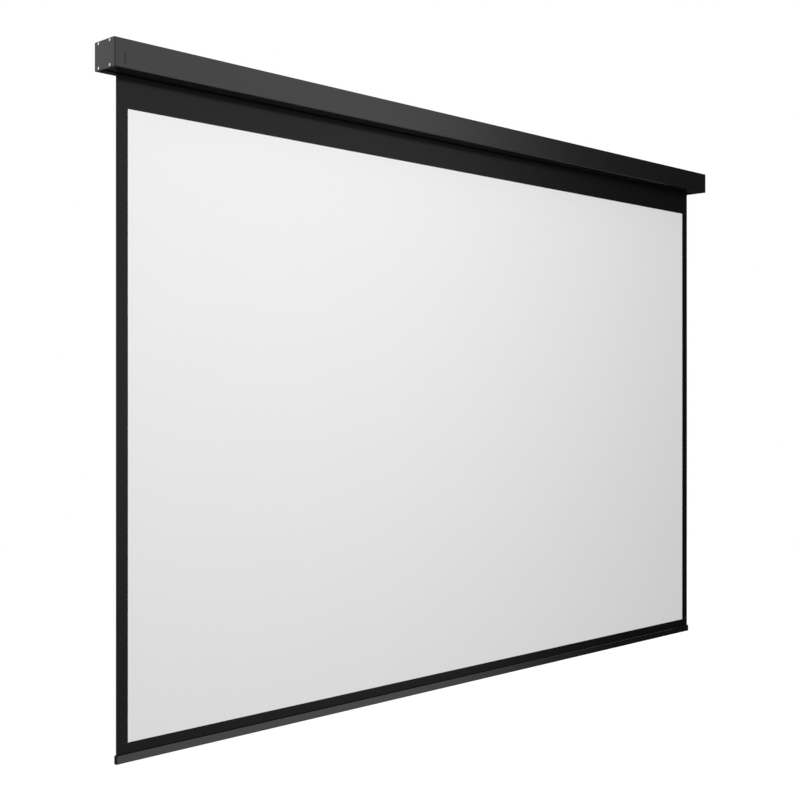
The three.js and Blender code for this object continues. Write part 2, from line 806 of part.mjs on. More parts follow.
function fabricRoll() {
  const steps = Math.round(rollStepsPerTurn * rollTurns);
  const side = (offset) => Array.from({ length: steps + 1 }, (_, i) => {
    const turn = rollTurns * i / steps;
    const r = rollOuterRadius - rollPitch * turn + offset;
    const angle = 2 * Math.PI * turn;
    return new THREE.Vector2(r * Math.cos(angle), r * Math.sin(angle));
  });
  const outline = [...side(carrierThickness / 2), ...side(-carrierThickness / 2).reverse()];
  return extrudeX(new THREE.Shape(outline), [-fabricWidth / 2, fabricWidth / 2]);
}

console.log("least gap between turns of fabric", rollPitch - carrierThickness);
piece("fabric_roll", fabricRoll(), blackCloth, rollerAxis);

// Hanging fabric: black carrier with the white viewing surface on its front.
// Its lowest strip, below the picture, travels with the bar.
const carrierFront = fabricY - carrierThickness / 2;
const carrierBack = fabricY + carrierThickness / 2;
const acrossFabric = [-fabricWidth / 2, fabricWidth / 2];

piece("carrier_fabric", block(acrossFabric, [carrierFront, carrierBack],
  [surfaceBottom, -running]), blackCloth);
piece("viewing_surface", block([-viewWidth / 2, viewWidth / 2],
  [carrierFront - seat - surfaceThickness, carrierFront - seat],
  [surfaceBottom, surfaceTop]), whiteCloth);

// Weight bar: an extrusion with a keder groove above and a ballast chamber below
const barTopLip = 3;
const barShoulder = 1.6;
const barCorner = 1.5;
const barWall = 1.3;
const kederRadius = 2.7;
const kederDrop = 5.2;
const kederSlot = 2.4;
const kederInset = 4;
const ballastRadius = 3.6;
const ballastGap = 0.4;
const ballastEndGap = 3;
const capPlug = 12;

const barHalf = barDepth / 2;
const barEnd = fabricWidth / 2 - barInset;
const ballastRoomHalf = ballastRadius + ballastGap;
const ballastRoomFloor = -barHeight + barWall;
const ballastRoomTop = ballastRoomFloor + 2 * ballastRoomHalf + ballastGap;

const bar = new THREE.Group();
bar.position.set(0, fabricY, barTop);
screen.add(bar);

function barOutline() {
  const shape = new THREE.Shape();
  shape.moveTo(-barTopLip, 0);
  shape.lineTo(-barHalf, -barShoulder);
  shape.absarc(-barHalf + barCorner, -barHeight + barCorner, barCorner, Math.PI, 3 * Math.PI / 2);
  shape.absarc(barHalf - barCorner, -barHeight + barCorner, barCorner,
    3 * Math.PI / 2, 2 * Math.PI);
  shape.lineTo(barHalf, -barShoulder);
  shape.lineTo(barTopLip, 0);
  return shape;
}

function barProfile() {
  const past = [-barEnd - overrun, barEnd + overrun];
  const kederRoom = rodX(kederRadius + running, past, 0, -kederDrop, smallSides);
  const slot = block(past, [-kederSlot / 2, kederSlot / 2], [-kederDrop, overrun]);
  const ballastRoom = block(past, [-ballastRoomHalf, ballastRoomHalf],
    [ballastRoomFloor, ballastRoomTop]);
  return extrudeX(barOutline(), [-barEnd, barEnd])
    .subtract(joined([kederRoom, slot]))
    .subtract(ballastRoom);
}

function barCap(side) {
  const flange = extrudeX(barOutline(),
    ordered(side * (barEnd + seat), side * (barEnd + seat + capThickness)), plateBevel);
  const plug = block(ordered(side * (barEnd - capPlug), side * (barEnd + capThickness / 2)),
    [-ballastRoomHalf + running, ballastRoomHalf - running],
    [ballastRoomFloor + running, ballastRoomTop - running]);
  return flange.add(plug);
}

const kederEnd = barEnd - kederInset;
const ballastEnd = barEnd - capPlug - ballastEndGap;

piece("bar_profile", barProfile(), barPaint, bar);
piece("bar_cap_left", barCap(-1), blackPlastic, bar);
piece("bar_cap_right", barCap(1), blackPlastic, bar);
piece("fabric_keder", rodX(kederRadius, [-kederEnd, kederEnd], 0, -kederDrop, smallSides),
  whiteNylon, bar);
piece("ballast_rod", rodX(ballastRadius, [-ballastEnd, ballastEnd], 0,
  ballastRoomFloor + running + ballastRadius, smallSides), steel, bar);

// The strip of black fabric below the picture, with a narrower tail down to the keder
function bottomBorder() {
  const thick = [-carrierThickness / 2, carrierThickness / 2];
  const strip = block(acrossFabric, thick, [seat, bottomDrop - seat]);
  const tail = block([-kederEnd, kederEnd], thick,
    [-kederDrop + kederRadius + seat, bottomDrop / 2]);
  return strip.add(tail);
}

piece("bottom_border", bottomBorder(), blackCloth, bar);

// Receiver window: a smoked strip flush with the casing's face, on a flange behind it
// with two arms that hold the receiver's board
const windowFlange = 1.2;
const windowFlangeWidth = 16;
const windowFlangeMargin = 2.5;
const boardWidth = 12;
const boardThickness = 1.2;
const boardTopRise = 5.5;
const boardStandoff = 2.4;
const armThickness = 1.4;
const armInset = 6;
const eyeWidth = 6;
const eyeHeight = 7;

const flangeFront = front + casingWall + seat;
const flangeBack = flangeFront + windowFlange;
const boardFront = flangeBack + boardStandoff;
const boardBack = boardFront + boardThickness;
const boardTop = windowTop + boardTopRise;

function receiverWindow() {
  const lens = block(
    [windowX - windowWidth / 2 + seat, windowX + windowWidth / 2 - seat],
    [front, flangeBack], [windowBottom + seat, windowTop - seat]);
  const flange = block([windowX - windowFlangeWidth / 2, windowX + windowFlangeWidth / 2],
    [flangeFront, flangeBack],
    [windowBottom - windowFlangeMargin, windowTop + windowFlangeMargin]);
  const arms = [-1, 1].map((side) => {
    const inner = windowX + side * (boardWidth / 2 + running);
    return block(ordered(inner, inner + side * armThickness),
      [flangeFront + windowFlange / 2, boardBack], [windowBottom + armInset, windowTop - armInset]);
  });
  return joined([lens, flange, ...arms]);
}

function receiverBoard() {
  const board = block([windowX - boardWidth / 2, windowX + boardWidth / 2],
    [boardFront, boardBack], [windowBottom, boardTop]);
  const eyeMiddle = (windowTop + windowBottom) / 2;
  const eye = block([windowX - eyeWidth / 2, windowX + eyeWidth / 2],
    [flangeBack + running, boardFront + boardThickness / 2],
    [eyeMiddle - eyeHeight / 2, eyeMiddle + eyeHeight / 2]);
  return board.add(eye);
}

piece("receiver_window", receiverWindow(), smokedPlastic);
piece("receiver_board", receiverBoard(), boardGreen);

// Control box behind the roller: a tray on the back wall, closed by a lid
const boxLength = 180;
const boxInset = 79;
const boxHeight = 26;
const boxDepth = 15.4;
const boxWall = 1.6;
const lidThickness = 2;
const lidRim = 2.5;
const postRadius = 2;
const postHeight = 2;
const postInset = 6;
const circuitThickness = 1.6;
const circuitMargin = 3;
const receiverLeadRadius = 1.25;
const motorLeadRadius = 2.5;
const receiverEntryDrop = 5;
const motorEntryDrop = 12;

const boxEnd = casingLength / 2 - boxInset;
const boxStart = boxEnd - boxLength;
const boxBottom = lowerScrewZ + portRadius + running;
const boxTop = boxBottom + boxHeight;
const boxBack = -casingWall - running;
const boxFront = boxBack - boxDepth;
const trayFloor = boxBack - boxWall;
const circuitBack = trayFloor - postHeight;
const circuitFront = circuitBack - circuitThickness;
const entryY = (circuitFront + boxFront) / 2;
const receiverEntryZ = boxTop - receiverEntryDrop;
const motorEntryZ = boxTop - motorEntryDrop;
const circuitX = [boxStart + boxWall + circuitMargin, boxEnd - boxWall - circuitMargin];
const circuitZ = [boxBottom + boxWall + circuitMargin, boxTop - boxWall - circuitMargin];

function rodY(radius, [y0, y1], x, z, sides = smallSides) {
  return solidOf(new THREE.CylinderGeometry(radius, radius, y1 - y0, sides)
    .translate(x, (y0 + y1) / 2, z));
}

function boxTray() {
  const outer = block([boxStart, boxEnd], [boxFront, boxBack], [boxBottom, boxTop]);
  const hollow = block([boxStart + boxWall, boxEnd - boxWall], [boxFront - overrun, trayFloor],
    [boxBottom + boxWall, boxTop - boxWall]);
  const throughEnd = [boxEnd - boxWall - overrun, boxEnd + overrun];
  const entries = rodX(receiverLeadRadius + running, throughEnd, entryY, receiverEntryZ)
    .add(rodX(motorLeadRadius + running, throughEnd, entryY, motorEntryZ));
  const postXs = [circuitX[0] + postInset, circuitX[1] - postInset];
  const posts = postXs.map((x) => rodY(postRadius,
    [circuitBack + seat, trayFloor + boxWall / 2], x, (circuitZ[0] + circuitZ[1]) / 2));
  return joined([outer.subtract(hollow), ...posts]).subtract(entries);
}

function boxLid() {
  const plate = extrudeX(roundedRectangle([boxFront - seat - lidThickness, boxFront - seat],
    [boxBottom, boxTop], lidThickness / 3), [boxStart, boxEnd]);
  const rimOuter = boxWall + running;
  const rim = block([boxStart + rimOuter, boxEnd - rimOuter],
    [boxFront - seat - lidThickness / 2, boxFront + lidRim],
    [boxBottom + rimOuter, boxTop - rimOuter]);
  const rimInner = rimOuter + boxWall;
  const rimHollow = block([boxStart + rimInner, boxEnd - rimInner],
    [boxFront - seat, boxFront + lidRim + overrun], [boxBottom + rimInner, boxTop - rimInner]);
  return plate.add(rim).subtract(rimHollow);
}

piece("control_box_tray", boxTray(), blackPlastic);
piece("control_box_lid", boxLid(), blackPlastic);
piece("control_board", block(circuitX, [circuitFront, circuitBack], circuitZ), boardGreen);

// Components on the control board
const terminalLength = 26;
const terminalHeight = 12;
const terminalDepth = 8;
const terminalWays = 5;
const wayRadius = 1.4;
const wayDepth = 5;
const relayLength = 19;
const relayHeight = 15;
const relayDepth = 9;
const relayInset = 60;
const capacitorRadius = 4.4;
const capacitorLength = 34;
const capacitorInset = 24;
const leadFoot = 0.6;

const boardMiddle = (circuitZ[0] + circuitZ[1]) / 2;
const onBoard = circuitFront - seat;

function terminalBlock() {
  const end = circuitX[1] - postInset;
  const body = block([end - terminalLength, end], [onBoard - terminalDepth, onBoard],
    [boardMiddle - terminalHeight / 2, boardMiddle + terminalHeight / 2]);
  const pitch = terminalLength / terminalWays;
  const ways = Array.from({ length: terminalWays }, (_, i) => rodY(wayRadius,
    [onBoard - terminalDepth - overrun, onBoard - terminalDepth + wayDepth],
    end - pitch * (i + 1 / 2), boardMiddle, leadSides));
  return body.subtract(joined(ways));
}

function motorCapacitor() {
  const start = circuitX[0] + capacitorInset;
  const centre = onBoard - leadFoot - capacitorRadius;
  const can = rodX(capacitorRadius, [start, start + capacitorLength], centre, boardMiddle,
    smallSides);
  const foot = block([start + capacitorLength / 3, start + 2 * capacitorLength / 3],
    [centre, onBoard], [boardMiddle - capacitorRadius / 2, boardMiddle + capacitorRadius / 2]);
  return can.add(foot);
}

piece("terminal_block", terminalBlock(), terminalGreen);
piece("motor_relay", block(
  [circuitX[1] - relayInset - relayLength, circuitX[1] - relayInset],
  [onBoard - relayDepth, onBoard],
  [boardMiddle - relayHeight / 2, boardMiddle + relayHeight / 2]), relayBlue);
piece("motor_capacitor", motorCapacitor(), greyPlastic);

// Leads inside the casing: smooth curves through their points, stepped evenly
// from one point to the next, so that a long straight takes few steps
class Route extends THREE.CatmullRomCurve3 {
  getPointAt(t, target) {
    return this.getPoint(t, target);
  }

  getTangentAt(t, target) {
    return this.getTangent(t, target);
  }
}

function lead(points, radius) {
  const stepsPerSpan = 3;
  const path = new Route(points.map((point) => new THREE.Vector3(...point)));
  return tubeAlong(path, radius, leadSides, stepsPerSpan * (points.length - 1));
}

const leadCorner = 6;
const leadEndInBox = 5;
const crossingSetback = 20;
const rearRun = 12;

const crossingX = casingLength / 2 - crossingSetback;
const highRunY = (boardFront + boardBack) / 2;
const highRunZ = upperScrewZ - portWall;
const crossingZ = upperScrewZ - portRadius - 2 * receiverLeadRadius;
const boxMouthX = boxEnd - boxWall - leadEndInBox;

piece("receiver_lead", lead([
  [windowX, highRunY, boardTop + running],
  [windowX, highRunY, boardTop + leadCorner],
  [windowX, highRunY, highRunZ - leadCorner],
  [windowX + leadCorner, highRunY, highRunZ],
  [windowX + 3 * leadCorner, highRunY, highRunZ],
  [crossingX - 3 * leadCorner, highRunY, highRunZ],
  [crossingX - leadCorner, highRunY, highRunZ],
  [crossingX, highRunY + leadCorner, crossingZ],
  [crossingX, rollerY, crossingZ],
  [crossingX, -rearRun - 2 * leadCorner, crossingZ],
  [crossingX - leadCorner, -rearRun, crossingZ - leadCorner],
  [boxEnd + 3 * leadCorner, entryY, receiverEntryZ + leadCorner / 2],
  [boxEnd + leadCorner, entryY, receiverEntryZ],
  [boxMouthX, entryY, receiverEntryZ],
], receiverLeadRadius), cableGrey);

const leadLeaveX = headOuter - headLength / 2;

piece("motor_lead", lead([
  [leadLeaveX, rollerY + headRadius + running, 0],
  [leadLeaveX, rollerY + headRadius + leadCorner, 0],
  [leadLeaveX - leadCorner, entryY - 2 * leadCorner / 3, motorEntryZ / 3],
  [leadLeaveX - 3 * leadCorner, entryY, motorEntryZ],
  [boxEnd + leadCorner, entryY, motorEntryZ],
  [boxMouthX, entryY, motorEntryZ],
], motorLeadRadius), cableGrey);

// Mains gland in the right end plate: a hexagon body, a clamping dome outside
// and a lock nut inside
const glandFlats = 16;
const glandFlange = 3.5;
const glandBore = 3.4;
const glandInnerLength = 8;
const glandStub = 7;
const domeLength = 11;
const domeTipShare = 0.7;
const lockNutThickness = 3;

const glandFace = casingLength / 2 + seat;
const mainsGland = new THREE.Group();
mainsGland.position.set(0, -glandSetback, -glandDrop);
screen.add(mainsGland);

function glandBody() {
  const flangeEnd = glandFace + glandFlange;
  const barrel = rodX(glandRadius, [plateInner - glandInnerLength, flangeEnd + glandStub]);
  const hexagon = extrudeX(regularPolygon(6, glandFlats), [glandFace, flangeEnd]);
  const bore = rodX(glandBore,
    [plateInner - glandInnerLength - overrun, flangeEnd + glandStub + overrun]);
  return barrel.add(hexagon).subtract(bore);
}

function glandDome() {
  const start = glandFace + glandFlange + seat;
  const roomEnd = start + glandStub + running;
  const outer = glandFlats / 2;
  return turned([
    [start, glandRadius + running],
    [start, outer],
    [start + domeLength / 2, outer],
    [start + domeLength, domeTipShare * outer],
    [start + domeLength, glandBore],
    [roomEnd, glandBore],
    [roomEnd, glandRadius + running],
  ]);
}

function glandLockNut() {
  const face = plateInner - seat;
  return extrudeX(regularPolygon(6, glandFlats), [face - lockNutThickness, face])
    .subtract(rodX(glandRadius + running, [face - lockNutThickness - overrun, face + overrun]));
}

piece("mains_gland", glandBody(), blackPlastic, mainsGland);
piece("gland_dome", glandDome(), blackPlastic, mainsGland);
piece("gland_lock_nut", glandLockNut(), blackPlastic, mainsGland);

export default screen;
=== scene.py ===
"""Finish of a motorized projector screen, lowered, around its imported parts.

Frame: metres, +X to the viewer's right, -Y into the room, +Z up, origin on the wall.
Section outlines are drawn in (y, z) and carried along X.
"""

import json
import math

import bmesh
import bpy
import numpy as np
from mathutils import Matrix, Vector
from mathutils.geometry import tessellate_polygon


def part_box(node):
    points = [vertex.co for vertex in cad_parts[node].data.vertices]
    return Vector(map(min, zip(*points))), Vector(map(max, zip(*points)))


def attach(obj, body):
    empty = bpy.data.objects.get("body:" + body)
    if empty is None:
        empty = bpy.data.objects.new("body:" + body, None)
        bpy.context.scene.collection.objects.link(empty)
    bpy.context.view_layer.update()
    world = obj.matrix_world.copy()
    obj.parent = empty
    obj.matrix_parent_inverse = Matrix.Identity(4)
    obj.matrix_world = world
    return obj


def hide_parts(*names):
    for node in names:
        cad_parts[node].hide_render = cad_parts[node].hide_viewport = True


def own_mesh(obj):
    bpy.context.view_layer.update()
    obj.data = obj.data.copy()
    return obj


MM = 0.001
DEGREE = math.pi / 180

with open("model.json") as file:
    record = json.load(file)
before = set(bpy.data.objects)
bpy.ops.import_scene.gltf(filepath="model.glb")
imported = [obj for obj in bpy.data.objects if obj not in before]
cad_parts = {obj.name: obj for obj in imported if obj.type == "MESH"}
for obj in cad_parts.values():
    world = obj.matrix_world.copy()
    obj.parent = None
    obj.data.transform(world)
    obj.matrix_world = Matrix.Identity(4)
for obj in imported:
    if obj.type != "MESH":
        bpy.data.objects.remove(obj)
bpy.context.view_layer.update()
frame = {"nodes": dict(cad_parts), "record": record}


# Camera: level, at the photograph's place and heading
CAMERA_PLACE = (-2.900, -2.618, -0.803)
CAMERA_HEADING = -45.29 * DEGREE
SENSOR_MM = 36.0
LENS_MM = 57.58
CLIP_START = 0.05
CLIP_END = 60.0


def make_camera():
    data = bpy.data.cameras.new("camera")
    data.sensor_width = SENSOR_MM
    data.lens = LENS_MM
    data.clip_start = CLIP_START
    data.clip_end = CLIP_END
    camera = bpy.data.objects.new("camera", data)
    camera.location = CAMERA_PLACE
    camera.rotation_euler = (math.pi / 2, 0.0, CAMERA_HEADING)
    bpy.context.scene.collection.objects.link(camera)
    bpy.context.scene.camera = camera


make_camera()


# Mesh helpers
SHARP_ANGLE = 35 * DEGREE
SHARP_ON_TUBE = 60 * DEGREE
LARGE_FACES_WEIGHT = 100


def mesh_object(name, points, faces, sharp_angle=SHARP_ANGLE):
    """A mesh from an array of points and lists of corners, its faces smooth up to an angle."""
    mesh = bpy.data.meshes.new(name)
    mesh.from_pydata(np.asarray(points, float).reshape(-1, 3).tolist(), [], faces)
    mesh.validate()
    mesh.update()
    mesh.shade_smooth()
    mesh.set_sharp_from_angle(angle=sharp_angle)
    piece = bpy.data.objects.new(name, mesh)
    bpy.context.scene.collection.objects.link(piece)
    return piece


def grid_faces(rows, columns, closed=False, start=0):
    """Corners of the quads of a grid stored row by row, each row closed round or open."""
    i, j = np.meshgrid(np.arange(rows - 1), np.arange(columns if closed else columns - 1),
                       indexing="ij")
    i, j = i.ravel(), j.ravel()
    right = (j + 1) % columns
    corners = np.stack([i * columns + j, i * columns + right,
                        (i + 1) * columns + right, (i + 1) * columns + j], axis=1)
    return (corners + start).tolist()


def even_normals(piece):
    """Vertex normals that follow the large faces, so that flat panels shade flat."""
    weigh = piece.modifiers.new("even_normals", "WEIGHTED_NORMAL")
    weigh.mode = "FACE_AREA"
    weigh.weight = LARGE_FACES_WEIGHT
    weigh.keep_sharp = True
    return piece


def turned_outwards(piece):
    """The piece with all its face normals pointing out."""
    mesh = bmesh.new()
    mesh.from_mesh(piece.data)
    bmesh.ops.recalc_face_normals(mesh, faces=mesh.faces)
    mesh.to_mesh(piece.data)
    mesh.free()
    return piece


def finish_piece(piece, finish, body, node):
    """The piece in its finish, riding on a body and standing for a node."""
    piece.data.materials.clear()
    piece.data.materials.append(finish)
    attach(piece, body)
    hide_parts(node)
    return piece


# Surfaces
ROUNDED_SHARE = 0.45
NEARLY_UPRIGHT = 0.1
KNOT_POWER = 0.5


def arc(centre, radius, start, end, steps):
    """Points of a circular arc in (y, z), by angle from +Y towards +Z."""
    angle = np.linspace(start, end, steps)
    return np.stack([centre[0] + radius * np.cos(angle), centre[1] + radius * np.sin(angle)], 1)


def filleted(corners, radius, steps=5):
    """A closed outline whose corners are rounded by tangent arcs of one radius.

    At each corner the arc's centre lies on the bisector, at radius / sin(half angle),
    and the arc touches both sides at radius / tan(half angle) from the corner. The
    radius is less where that would be more than a share of a side.
    """
    corners = np.asarray(corners, float)
    out = []
    for before, here, after in zip(np.roll(corners, 1, 0), corners, np.roll(corners, -1, 0)):
        a, b = before - here, after - here
        la, lb = np.linalg.norm(a), np.linalg.norm(b)
        a, b = a / la, b / lb
        half = math.acos(max(-1.0, min(1.0, float(a @ b)))) / 2
        r = min(radius, ROUNDED_SHARE * min(la, lb) * math.tan(half))
        bisector = (a + b) / np.linalg.norm(a + b)
        centre = here + bisector * r / math.sin(half)
        first = here + a * r / math.tan(half) - centre
        last = here + b * r / math.tan(half) - centre
        t = np.linspace(0, 1, steps)[:, None]
        mixed = first * (1 - t) + last * t
        out.append(centre + mixed / np.linalg.norm(mixed, axis=1)[:, None] * r)
    return np.concatenate(out)


def extrusion(name, loops, x0, x1):
    """Outline loops, the first one outside and the rest holes, carried from x0 to x1.

    The side is a grid of (end, outline point), and each end is the outline filled in.
    """
    points, faces, near, far = [], [], [], []
    start = 0
    for loop in loops:
        count = len(loop)
        points += [np.column_stack([np.full(count, x), loop]) for x in (x0, x1)]
        faces += grid_faces(2, count, closed=True, start=start)
        near += range(start, start + count)
        far += range(start + count, start + 2 * count)
        start += 2 * count
    flat = [[Vector((0.0, y, z)) for y, z in loop] for loop in loops]
    for a, b, c in tessellate_polygon(flat):
        faces.append([near[a], near[b], near[c]])
        faces.append([far[c], far[b], far[a]])
    return turned_outwards(mesh_object(name, np.concatenate(points), faces))


def slab(name, front, back):
    """A thin sheet from its front and back point grids, closed round its four edges."""
    rows, columns = front.shape[:2]
    count = rows * columns
    face = grid_faces(rows, columns)
    faces = face + [[k + count for k in reversed(f)] for f in face]
    index = np.arange(count).reshape(rows, columns)
    edge = np.concatenate([index[0, :-1], index[:-1, -1], index[-1, :0:-1], index[:0:-1, 0]])
    following = np.roll(edge, -1)
    faces += np.stack([following, edge, edge + count, following + count], 1).tolist()
    points = np.concatenate([front.reshape(-1, 3), back.reshape(-1, 3)])
    return turned_outwards(mesh_object(name, points, faces))


def tube(name, path, radius, sides=16):
    """A round tube: a circle of one radius set square to a path at each of its points."""
    path = np.asarray(path, float)
    tangent = np.gradient(path, axis=0)
    tangent /= np.linalg.norm(tangent, axis=1)[:, None]
    normal = np.cross(tangent[0], [0.0, 0.0, 1.0])
    if np.linalg.norm(normal) < NEARLY_UPRIGHT:
        normal = np.cross(tangent[0], [0.0, 1.0, 0.0])
    rings = []
    angle = np.linspace(0, 2 * math.pi, sides, endpoint=False)[:, None]
    for point, along in zip(path, tangent):
        normal = normal - along * (normal @ along)
        normal /= np.linalg.norm(normal)
        across = np.cross(along, normal)
        rings.append(point + radius * (np.cos(angle) * normal + np.sin(angle) * across))
    faces = grid_faces(len(path), sides, closed=True)
    last = (len(path) - 1) * sides
    faces.append(list(range(sides))[::-1])
    faces.append(list(range(last, last + sides)))
    return turned_outwards(mesh_object(name, np.concatenate(rings), faces, SHARP_ON_TUBE))


def smooth_path(points, steps):
    """A smooth curve through the points, a number of steps to a span.

    Each span mixes the three straight lines through its four nearest points, and mixes
    the results twice more. The knots lie apart by a power of the distance between points.
    """
    p = np.asarray(points, float)
    p = np.vstack([2 * p[0] - p[1], p, 2 * p[-1] - p[-2]])
    out = []
    for a, b, c, d in zip(p[:-3], p[1:-2], p[2:-1], p[3:]):
        t0 = 0.0
        t1 = t0 + np.linalg.norm(b - a) ** KNOT_POWER
        t2 = t1 + np.linalg.norm(c - b) ** KNOT_POWER
        t3 = t2 + np.linalg.norm(d - c) ** KNOT_POWER
        t = np.linspace(t1, t2, steps, endpoint=False)[:, None]
        ab = (t1 - t) / (t1 - t0) * a + (t - t0) / (t1 - t0) * b
        bc = (t2 - t) / (t2 - t1) * b + (t - t1) / (t2 - t1) * c
        cd = (t3 - t) / (t3 - t2) * c + (t - t2) / (t3 - t2) * d
        abc = (t2 - t) / (t2 - t0) * ab + (t - t0) / (t2 - t0) * bc
        bcd = (t3 - t) / (t3 - t1) * bc + (t - t1) / (t3 - t1) * cd
        out.append((t2 - t) / (t2 - t1) * abc + (t - t1) / (t2 - t1) * bcd)
    out.append(p[-2][None])
    return np.concatenate(out)


# Parts with eased edges
MERGE_DISTANCE = 0.002 * MM
FLAT_ANGLE = 0.5 * DEGREE
BEVEL_ANGLE = 50 * DEGREE
SMOOTH_ANGLE = 40 * DEGREE


def softened(node, name, width, chosen=None, segments=2, smooth_angle=SMOOTH_ANGLE):
    """A copy of a machined part with its points merged, its flat faces joined and its sharp
    edges bevelled, all of them or those whose two ends are chosen."""
    mesh = bmesh.new()
    mesh.from_mesh(frame["nodes"][node].data)
    bmesh.ops.remove_doubles(mesh, verts=mesh.verts, dist=MERGE_DISTANCE)
    bmesh.ops.dissolve_limit(mesh, angle_limit=FLAT_ANGLE, verts=mesh.verts, edges=mesh.edges)
    sharp = [e for e in mesh.edges
             if len(e.link_faces) == 2 and e.calc_face_angle(0) > BEVEL_ANGLE
             and (chosen is None or all(chosen(v.co) for v in e.verts))]
    bmesh.ops.bevel(mesh, geom=sharp, offset=width, segments=segments, profile=0.5,
                    affect="EDGES", clamp_overlap=True)
    bmesh.ops.triangulate(mesh, faces=[f for f in mesh.faces if len(f.verts) > 4])
    bmesh.ops.recalc_face_normals(mesh, faces=mesh.faces)
    copy = bpy.data.meshes.new(name)
    mesh.to_mesh(copy)
    mesh.free()
    copy.shade_smooth()
    copy.set_sharp_from_angle(angle=smooth_angle)
    piece = bpy.data.objects.new(name, copy)
    bpy.context.scene.collection.objects.link(piece)
    return even_normals(piece)


# Shader node groups: each puts out a colour, a roughness and a height for a bump
OUTPUTS = {"Colour": "NodeSocketColor", "Roughness": "NodeSocketFloat",
           "Height": "NodeSocketFloat"}


def new_group(name, inputs):
    """A shader group with float or colour inputs, and its usual three outputs."""
    group = bpy.data.node_groups.new(name, "ShaderNodeTree")
    for label, value in inputs.items():
        kind = "NodeSocketColor" if isinstance(value, tuple) else "NodeSocketFloat"
        socket = group.interface.new_socket(label, in_out="INPUT", socket_type=kind)
        socket.default_value = value
    for label, kind in OUTPUTS.items():
        group.interface.new_socket(label, in_out="OUTPUT", socket_type=kind)
    return group, group.nodes.new("NodeGroupInput")


def math_node(tree, operation, a, b=None):
    """A Math node whose operands are sockets or numbers; returns its result."""
    node = tree.nodes.new("ShaderNodeMath")
    node.operation = operation
    for socket, value in zip(node.inputs, (a, b)):
        if isinstance(value, bpy.types.NodeSocket):
            tree.links.new(value, socket)
        elif value is not None:
            socket.default_value = value
    return node.outputs[0]


def noise_node(tree, vector, scale, detail=3.0):
    """A noise over a vector; its scale is a socket or a number."""
    node = tree.nodes.new("ShaderNodeTexNoise")
    node.inputs["Detail"].default_value = detail
    if isinstance(scale, bpy.types.NodeSocket):
        tree.links.new(scale, node.inputs["Scale"])
    else:
        node.inputs["Scale"].default_value = scale
    tree.links.new(vector, node.inputs["Vector"])
    return node.outputs["Fac"]


def object_vector(tree, stretch=(1.0, 1.0, 1.0)):
    """Object coordinates, scaled along each axis."""
    place = tree.nodes.new("ShaderNodeTexCoord")
    mapping = tree.nodes.new("ShaderNodeMapping")
    mapping.inputs["Scale"].default_value = stretch
    tree.links.new(place.outputs["Object"], mapping.inputs["Vector"])
    return mapping.outputs["Vector"]


def varied(tree, mask, swing):
    """1 + swing x (mask - 0.5)"""
    spread = math_node(tree, "MULTIPLY", swing, math_node(tree, "SUBTRACT", mask, 0.5))
    return math_node(tree, "ADD", 1.0, spread)


def put_out(group, enter, mask, tint, gloss, height):
    """The colour varied by a mask as far as the input named by tint says, the roughness
    varied by it as far as gloss says, and the height."""
    leave = group.nodes.new("NodeGroupOutput")
    shaded = group.nodes.new("ShaderNodeVectorMath")
    shaded.operation = "SCALE"
    group.links.new(enter.outputs["Colour"], shaded.inputs[0])
    group.links.new(varied(group, mask, enter.outputs[tint]), shaded.inputs["Scale"])
    rough = math_node(group, "MULTIPLY", enter.outputs["Roughness"], varied(group, mask, gloss))
    group.links.new(shaded.outputs[0], leave.inputs["Colour"])
    group.links.new(rough, leave.inputs["Roughness"])
    group.links.new(height, leave.inputs["Height"])
    return group


def powder_coat_group():
    """Orange-peel of baked powder: a fine grain over a slow mottle."""
    group, enter = new_group("powder_coat", {
        "Colour": (0.01, 0.01, 0.01, 1.0), "Roughness": 0.3, "Grain": 900.0, "Mottle": 0.1})
    vector = object_vector(group)
    grain = noise_node(group, vector, enter.outputs["Grain"])
    slow = noise_node(group, vector, scale=14.0, detail=4.0)
    return put_out(group, enter, slow, tint="Mottle", gloss=0.16, height=grain)


def woven_group():
    """Coated cloth: crossed threads, sin(x) x sin(z) at one pitch, under a slow stain."""
    group, enter = new_group("woven_coating", {
        "Colour": (0.8, 0.8, 0.8, 1.0), "Roughness": 0.8, "Pitch": 0.0006, "Stain": 0.02})
    vector = object_vector(group)
    parts = group.nodes.new("ShaderNodeSeparateXYZ")
    group.links.new(vector, parts.inputs[0])
    turns = math_node(group, "DIVIDE", 2 * math.pi, enter.outputs["Pitch"])
    waves = [math_node(group, "SINE", math_node(group, "MULTIPLY", parts.outputs[axis], turns))
             for axis in ("X", "Z")]
    weave = math_node(group, "MULTIPLY", *waves)
    slow = noise_node(group, vector, scale=5.0, detail=5.0)
    return put_out(group, enter, slow, tint="Stain", gloss=0.08, height=weave)


def drawn_metal_group():
    """Metal with fine lines along X, from noise stretched in that direction."""
    group, enter = new_group("drawn_metal", {
        "Colour": (0.6, 0.6, 0.6, 1.0), "Roughness": 0.35, "Lines": 400.0, "Contrast": 0.3})
    vector = object_vector(group, stretch=(0.02, 1.0, 1.0))
    lines = noise_node(group, vector, enter.outputs["Lines"])
    return put_out(group, enter, lines, tint="Contrast", gloss=0.5, height=lines)


def moulded_group():
    """Moulded plastic: a fine spark-eroded grain with faint flow marks."""
    group, enter = new_group("moulded_plastic", {
        "Colour": (0.02, 0.02, 0.02, 1.0), "Roughness": 0.5, "Grain": 1500.0, "Flow": 0.12})
    vector = object_vector(group)
    grain = noise_node(group, vector, enter.outputs["Grain"], detail=2.0)
    flow = noise_node(group, vector, scale=60.0, detail=4.0)
    return put_out(group, enter, flow, tint="Flow", gloss=0.2, height=grain)


POWDER_COAT = powder_coat_group()
WOVEN = woven_group()
DRAWN_METAL = drawn_metal_group()
MOULDED = moulded_group()


